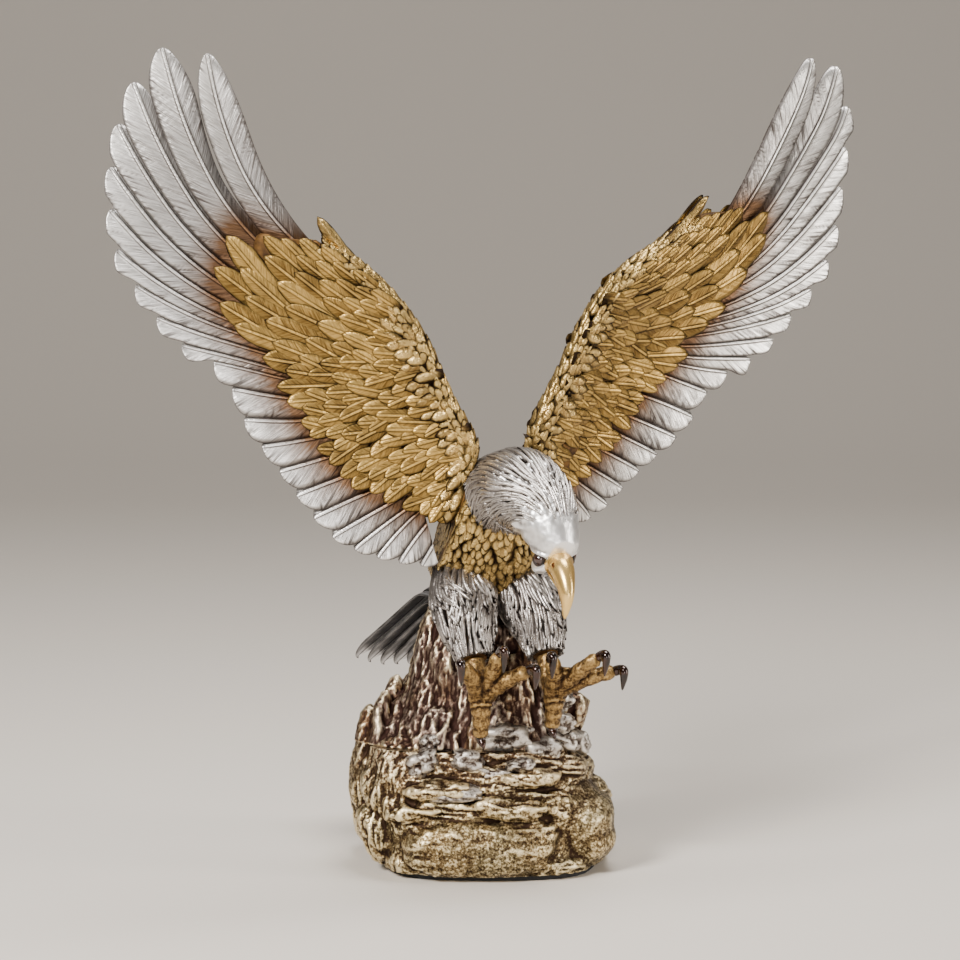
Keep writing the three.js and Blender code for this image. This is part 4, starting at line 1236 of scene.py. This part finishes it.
for side in SIDES:
    name, toes = FEET[side]
    palm = np.array([side * 15.5, -43, 75.0])
    shank = Limb([ANKLES[side] - ANKLE_LINE, palm], [[3.8, 3.8], [4.8, 4.4]])
    ball_of_foot = Limb([palm + [0, 2, 4], palm - [0, 1, 5]], [[4, 3.6], [4.6, 4]])
    parts = [shape_limb(shank, 20, 14), shape_limb(ball_of_foot, 20, 12)]
    claws = []
    for toe in toes:
        bones, hook = toe_lines(palm, toe)
        line = Curve(bones)
        pads = [line.at(v) for v in np.linspace(0, 1, 9)]
        widths = [(4.2 - 1.4 * v + (0.35 if n % 2 else -0.1), 3.7 - 1.2 * v + (0.35 if n % 2 else -0.1))
                  for n, v in enumerate(np.linspace(0, 1, 9))]
        parts.append(shape_limb(Limb(pads, widths, (0.9, 0.1, 0.3)), 20, 30))
        claw = Limb(hook, [(2.0, 2.1), (1.9, 2.0), (1.4, 1.5), (0.3, 0.35)], (0.9, 0.1, 0.3))
        claws.append(shape_limb(claw, 16, 26, 0.06))
    # the web between the first three toes
    ends = [palm + np.array(toe) * 0.7 for toe in toes[:3]]
    for one, two in ((ends[0], ends[1]), (ends[0], ends[2])):
        parts.append(shape_limb(Limb([palm - [0, 0, 2], (one + two) / 2], [(5.2, 3.0), (4.6, 1.8)]), 16, 12))
    foot = fuse(name + "_skin", parts, voxel=0.42, rounds=5)
    p, n = corners(foot) / MM, outward(foot)
    scutes = np.array([noise.cell(Vector(q * 0.62)) for q in p])
    move_corners(foot, (p + n * (0.10 * scutes + 0.14 * noise_at(p * 0.9))[:, None]) * MM)
    cut_away(foot, ANKLES[side] + ANKLE_LINE * GAP, -ANKLE_LINE)
    dowel_hole(foot, ANKLES[side], ANKLE_LINE)
    mark_relief(foot, 0.35)
    finish_piece(foot, BODY, FOOT_GOLD, "gold", name)
    horn = join(name + "_claws", claws)
    finish_piece(horn, BODY, CLAW_HORN, "horn_gold")

# ---------------------------------------------------------------- stump and rock
# outlines from the bottom up: height, middle x and y, half width, half depth
ROCK = [
    [2.3, 2, 0, 45, 39], [9, 1, 0, 49.5, 41.5], [20, 0, 0, 51.5, 43], [30, -1.5, 0, 51, 42],
    [38, -6, 1, 47, 40], [49.7, -7, 2, 45.5, 36],
]
STUMP = [
    [50, -6, 4, 42, 32], [62, -3, 6, 37, 29], [72, -1, 8, 32, 26], [84, -1, 9, 28, 22],
    [95, -2, 10, 25, 19], [103, -3, 10, 20, 15],
]


def waves(angle, height, depth):
    """How far an outline is in or out round its girth, as a share."""
    return depth * (0.5 * np.sin(3 * angle + 0.09 * height) + 0.3 * np.sin(5 * angle - 0.16 * height + 1)
                    + 0.3 * np.sin(9 * angle + 0.3 * height + 2))


def shape_stack(rows, depth, shrink=0.0, around=96, along=64):
    """A sphere drawn over a stack of rounded outlines, flat at its two ends."""
    thing = start_from(bpy.ops.mesh.primitive_uv_sphere_add, segments=around, ring_count=along, radius=1)
    p = corners(thing)
    t = np.arccos(np.clip(p[:, 2], -1, 1)) / np.pi
    angle = np.arctan2(p[:, 1], p[:, 0])
    cap = 0.14
    reach = np.clip(np.minimum(t, 1 - t) / cap, 0, 1)
    low, high = rows[0][0], rows[-1][0]
    z = high + (low - high) * np.clip((t - cap) / (1 - 2 * cap), 0, 1)
    table = np.array(rows, float)
    cx, cy, rx, ry = (np.interp(z, table[:, 0], table[:, c]) for c in (1, 2, 3, 4))
    square = (np.abs(np.cos(angle)) ** 3 + np.abs(np.sin(angle)) ** 3) ** (-1 / 3)
    k = square * (1 + waves(angle, z, depth)) * reach
    x, y = cx + (rx - shrink) * k * np.cos(angle), cy + (ry - shrink) * k * np.sin(angle)
    move_corners(thing, np.stack([x, y, z], -1) * MM)
    return thing


def slab(path, radii, sideways=(1, 0, 0)):
    """A split plank standing along a path."""
    return shape_limb(Limb(path, radii, sideways), 28, 30, 0.12, as_given)


def roughen(thing, amount, scales, ridged=False):
    """Pushes the skin in and out by noise whose grain runs scales mm in x, y and z."""
    p, n = corners(thing) / MM, outward(thing)
    value = noise_at(p / np.array(scales), 4)
    if ridged:
        value = 0.5 - np.abs(value) * 1.6
    move_corners(thing, (p + n * (value * amount)[:, None]) * MM)


# the broken slabs standing at the left, each one a split plank of the trunk, running down into the pile
SLABS = [
    ([[-47, -4, 12], [-48.5, -3, 34], [-48, -1, 54], [-45.5, 1, 64]], [(5, 9), (6, 10), (4.4, 8), (2.2, 3)]),
    ([[-41, -14, 12], [-43, -10, 34], [-42, -6, 58], [-39, -3, 71]],
     [(5, 8), (5.4, 8), (4.4, 6.5), (2.2, 3)]),
    ([[-38, 4, 14], [-39, 4, 40], [-37.5, 5, 62], [-35.5, 6, 75]], [(6, 10), (6, 10), (4.6, 8), (2.6, 4)]),
    ([[-34, -18, 14], [-34, -14, 38], [-31.5, -8, 58], [-29, -3, 72]],
     [(5, 8), (5, 7), (4.0, 5.5), (2.2, 3)]),
    ([[-27, -18, 38], [-26, -14, 52], [-24, -9, 66], [-20, -5, 88]],
     [(4, 5), (4.2, 5), (3.6, 4.5), (2.0, 3)]),
    ([[-30, -2, 48], [-27, -2, 66], [-23.5, 1, 88], [-20, 3, 104]], [(5, 7), (5, 7), (4.4, 6), (3.0, 4)]),
    ([[-16, -20, 46], [-15, -15, 62], [-14, -10, 82], [-13, -4, 100]], [(4, 4), (4.4, 4), (4, 4), (2.8, 3)]),
    ([[15, -21, 46], [14, -17, 60], [13, -12, 74], [11, -7, 88]], [(6, 4), (5.4, 4), (4.4, 4), (2.6, 3)]),
    ([[-4, -24, 48], [-3, -19, 64], [-3, -13, 80], [-2, -8, 96]], [(5, 4), (4.4, 4), (4, 3.4), (3, 3)]),
]
LUMPS = [
    ((33, -6, 64), (8, 8, 7)), ((27, -8, 73), (7, 8, 6)), ((31, 8, 58), (9, 10, 9)),
    ((2, 34, 58), (14, 7, 8)), ((-22, 30, 56), (12, 7, 9)), ((22, 28, 57), (10, 8, 7)),
]
parts = [shape_stack(STUMP, 0.08, 1.5)]
parts += [slab(path, radii) for path, radii in SLABS]
parts += [shape_stone(centre, radii, 0.2, square=2.6) for centre, radii in LUMPS]
stump = fuse("stump_skin", parts, voxel=0.75, rounds=1)
roughen(stump, 1.5, (5.5, 5.5, 46), ridged=True)
roughen(stump, 0.5, (8, 8, 14))
roughen(stump, 0.3, (2.2, 2.2, 9))
cut_away(stump, (0, 0, ROCK_TOP), (0, 0, -1), as_given, as_given)
cut_away(stump, (0, 0, STUMP_TOP), (0, 0, 1), as_given, as_given)
carve(stump, shape_block((90, 60, 40), TAIL_SEAT + TAIL_UP * 13.7 + TAIL_BACK * 40, (1.0, 0, 0)))
ROD = from_bird(np.array([0, 4, 0.0]))
carve(stump, shape_rod(ROD_RADIUS + GAP, 70, ROD + [0, 0, 77], (0, 0, 1), as_given))
mark_relief(stump, 0.8)
finish_piece(stump, BODY, WOOD_WASH, "stone_gold", "tree_stump")

# stones of the pile: middle, half sizes, squareness, turn
STONES = [
    ((-2, -28, 13), (31, 17, 12.5), 3.4, 0.04), ((38.5, -14, 17), (13.5, 19, 15.5), 2.6, 0.1),
    ((10, -34, 29), (15, 9, 4.6), 2.6, -0.06), ((-26, -31, 27.5), (14, 9, 4.0), 2.4, 0.14),
    ((-41, -10, 16), (9, 20, 13), 2.3, 0.3), ((-40, 14, 16), (12, 18, 13), 2.5, -0.2),
    ((6, 33, 22), (26, 11, 16), 2.8, 0.05), ((36, 18, 18), (15, 16, 15), 2.6, -0.1),
    ((-28, 28, 30), (14, 11, 12), 2.5, 0.2), ((28, 24, 38), (13, 10, 8), 2.4, 0.1),
    ((31, -14, 41), (9, 12, 6.5), 2.3, -0.1), ((17, -29, 40), (13, 8, 4), 2.3, 0.06),
    ((34, 0, 36), (9, 14, 7), 2.4, 0.0), ((-18, -33, 36), (14, 7, 3.4), 2.6, 0.04),
]
foot_rows = [[2.3, 2, 0, 50, 43.4], [6, 1.5, 0, 51, 43.8], [9, 1, 0, 50, 42]]
parts = [shape_stack(foot_rows + ROCK[2:], 0.05, 4.0)]
parts += [shape_stone(centre, radii, 0.1, 0.1, turn, square=square) for centre, radii, square, turn in STONES]
parts += [slab(path, radii) for path, radii in SLABS[:5]]
rock = fuse("rock_skin", parts, voxel=0.8, rounds=1)
p, n = corners(rock) / MM, outward(rock)
# the two big boulders stay whole; elsewhere the rock is in layers, and split upright at the left
to_boulders = [(((p - np.array(middle)) / np.array(radii)) ** 2).sum(1) for middle, radii, _, _ in STONES[:2]]
layered = 0.1 + 0.9 * ease((np.minimum(*to_boulders) - 1.25) / 0.5)
layers = 0.5 - 1.6 * np.abs(noise_at(p / (20, 20, 3.2) + p[:, :1] / 40 * (0, 0, 1), 4))
split = 0.5 - 1.6 * np.abs(noise_at(p / (5.5, 5.5, 34), 4))
layers = layers + (split - layers) * ease((-p[:, 0] - 26) / 9)
facets = noise_at(p / 9)
grit = noise_at(p / 2.6, 2)
move_corners(rock, (p + n * (1.7 * layers * layered + 0.9 * facets + 0.25 * grit)[:, None]) * MM)
cut_away(rock, (0, 0, PAD_TOP + GAP), (0, 0, -1), as_given, as_given)
cut_away(rock, (0, 0, ROCK_TOP - 0.05), (0, 0, 1), as_given, as_given)


def shape_oval(width, depth, low, high, taper=1.0):
    """An upright oval block, drawn in or out towards its top."""
    thing = start_from(bpy.ops.mesh.primitive_cylinder_add, vertices=72, radius=1, depth=1)
    p = corners(thing)
    up = p[:, 2] + 0.5
    k = 1 + (taper - 1) * up
    x, y = 2 + p[:, 0] * width / 2 * k, p[:, 1] * depth / 2 * k
    move_corners(thing, np.stack([x, y, low + up * (high - low)], -1) * MM)
    return thing


carve(rock, shape_oval(64, 56, 1.3, PLATE_TOP + GAP))
carve(rock, shape_oval(56, 48, 1.3, HOLLOW_ROOF, 0.82))
carve(rock, shape_rod(ROD_RADIUS + GAP, 60, ROD + [0, 0, 40], (0, 0, 1), as_given))
mark_relief(rock, 0.8)
finish_piece(rock, BODY, STONE_GOLD, "stone_gold", "rock_base")

# Single stones caught between the wood and the pile, some rubbed with silver; they cover the joint.
LOOSE = [
    ((9, -22.5, 55.5), (9.5, 6, 5), 3.4, 0.05), ((-25, -27.5, 46), (7, 6, 4.6), 3.2, 0.5),
    ((-7, -29.5, 47), (6, 5, 4), 3.8, -0.1), ((-12, -34.6, 34.5), (11, 5, 3.2), 3.2, 0.05),
    ((-22, -22, 53), (4, 5, 3.4), 3, 0.2), ((22, -21, 50), (8, 7, 4), 3.0, 0.12),
    ((31, -10, 52), (7, 9, 5), 2.8, 0.0), ((4, -28.5, 42), (8, 5, 2.8), 3.2, 0.0),
    ((30, -13, 69), (5, 5, 5), 2.8, 0.3), ((14, -30.4, 45.5), (6, 5, 2.6), 3.2, 0.1),
    ((36, 6, 47), (6, 9, 5), 2.6, 0.0), ((29, -16, 60), (6, 5, 4), 3.0, -0.2),
    ((-20, 32, 48), (10, 6, 5), 2.6, 0.1), ((8, 36, 46), (12, 6, 5), 2.6, -0.1),
    ((27, 26, 47), (8, 8, 5), 2.6, 0.1),
]
stones = [shape_stone(centre, radii, 0.3, 0.1, turn, square=square) for centre, radii, square, turn in LOOSE]
stones = join("loose_stones", stones)
roughen(stones, 0.6, (4, 4, 3))
mark_relief(stones, 1.2, 8)
finish_piece(stones, BODY, STONE_SILVER, "stone_gold")

# ---------------------------------------------------------------- hardware under the bird
STEEL_NODES = ("armature_rod", "rod_washer", "rod_nut", "neck_dowel", "tail_dowel", "right_foot_dowel",
               "left_foot_dowel")
finishes = {"base_pad": FOAM_RUBBER, "base_plate": FIBRE_BOARD, "torso": CORE_GOLD}
finishes.update({node: ZINC_STEEL for node in STEEL_NODES})
for node, finish in finishes.items():
    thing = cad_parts[node]
    thing.data.materials.clear()
    thing.data.materials.append(finish)

for spare in BLANKS:
    bpy.data.objects.remove(spare)

# ---------------------------------------------------------------- floor, light, camera
def backdrop():
    """A pale floor that curves up into a wall behind, so no line shows where they meet."""
    sheet = start_from(bpy.ops.mesh.primitive_grid_add, x_subdivisions=8, y_subdivisions=48, size=2)
    p = corners(sheet)
    # all in metres: half width, how far it comes forward, where the bend starts and how round it is
    wide, front, bend, radius = 3.5, 2.5, 1.2, 0.9
    run = (p[:, 1] + 1) / 2 * (front + bend + radius * math.pi / 2 + 2.5) - front
    turn = np.clip((run - bend) / radius, 0, math.pi / 2)
    up_the_wall = np.maximum(run - bend - radius * math.pi / 2, 0)
    y = np.minimum(run, bend) + radius * np.sin(turn)
    z = radius * (1 - np.cos(turn)) + up_the_wall
    move_corners(sheet, np.stack([p[:, 0] * wide, y, z], -1))
    smooth(sheet)
    sheet.name = "floor"
    pale, _, shader = new_material("pale_paper")
    shader.inputs["Base Color"].default_value = linear("#CFC8BF")
    shader.inputs["Roughness"].default_value = 0.7
    sheet.data.materials.append(pale)


backdrop()


def softbox(name, place, target, size, power, colour):
    """A flat soft lamp aimed at a place, all in mm."""
    bpy.ops.object.light_add(type="AREA", location=[p * MM for p in place])
    lamp = bpy.context.object
    lamp.name = name
    lamp.data.shape = "RECTANGLE"
    lamp.data.size, lamp.data.size_y = size[0] * MM, size[1] * MM
    lamp.data.energy = power
    lamp.data.color = colour
    aim = Vector([t - p for t, p in zip(target, place)])
    lamp.rotation_euler = aim.to_track_quat("-Z", "Y").to_euler()


softbox("key", (-700, -900, 900), (0, 0, 170), (380, 380), 34, (1, 0.97, 0.93))
softbox("top", (150, 100, 1000), (0, 0, 150), (500, 400), 10, (1, 0.98, 0.96))
softbox("side", (1000, -300, 350), (0, 0, 170), (220, 700), 8, (1, 0.95, 0.88))
softbox("front", (150, -1400, 250), (0, 0, 150), (300, 500), 5, (1, 0.97, 0.95))

world = bpy.data.worlds.new("studio")
bpy.context.scene.world = world
world.use_nodes = True
world.node_tree.nodes["Background"].inputs[0].default_value = linear("#B9B4AE")
world.node_tree.nodes["Background"].inputs[1].default_value = 0.28

DISTANCE, ELEVATION, LENS, FILM_WIDTH = 1440, math.radians(7), 135, 36
bpy.ops.object.camera_add()
camera = bpy.context.object
camera.data.lens, camera.data.sensor_width = LENS, FILM_WIDTH
aim_at = Vector((-2, 0, 155)) * MM
back = Vector((0, -math.cos(ELEVATION), math.sin(ELEVATION)))
camera.location = aim_at + back * DISTANCE * MM
camera.rotation_euler = (-back).to_track_quat("-Z", "Y").to_euler()
camera.data.clip_start, camera.data.clip_end = 0.05, 30
bpy.context.scene.camera = camera
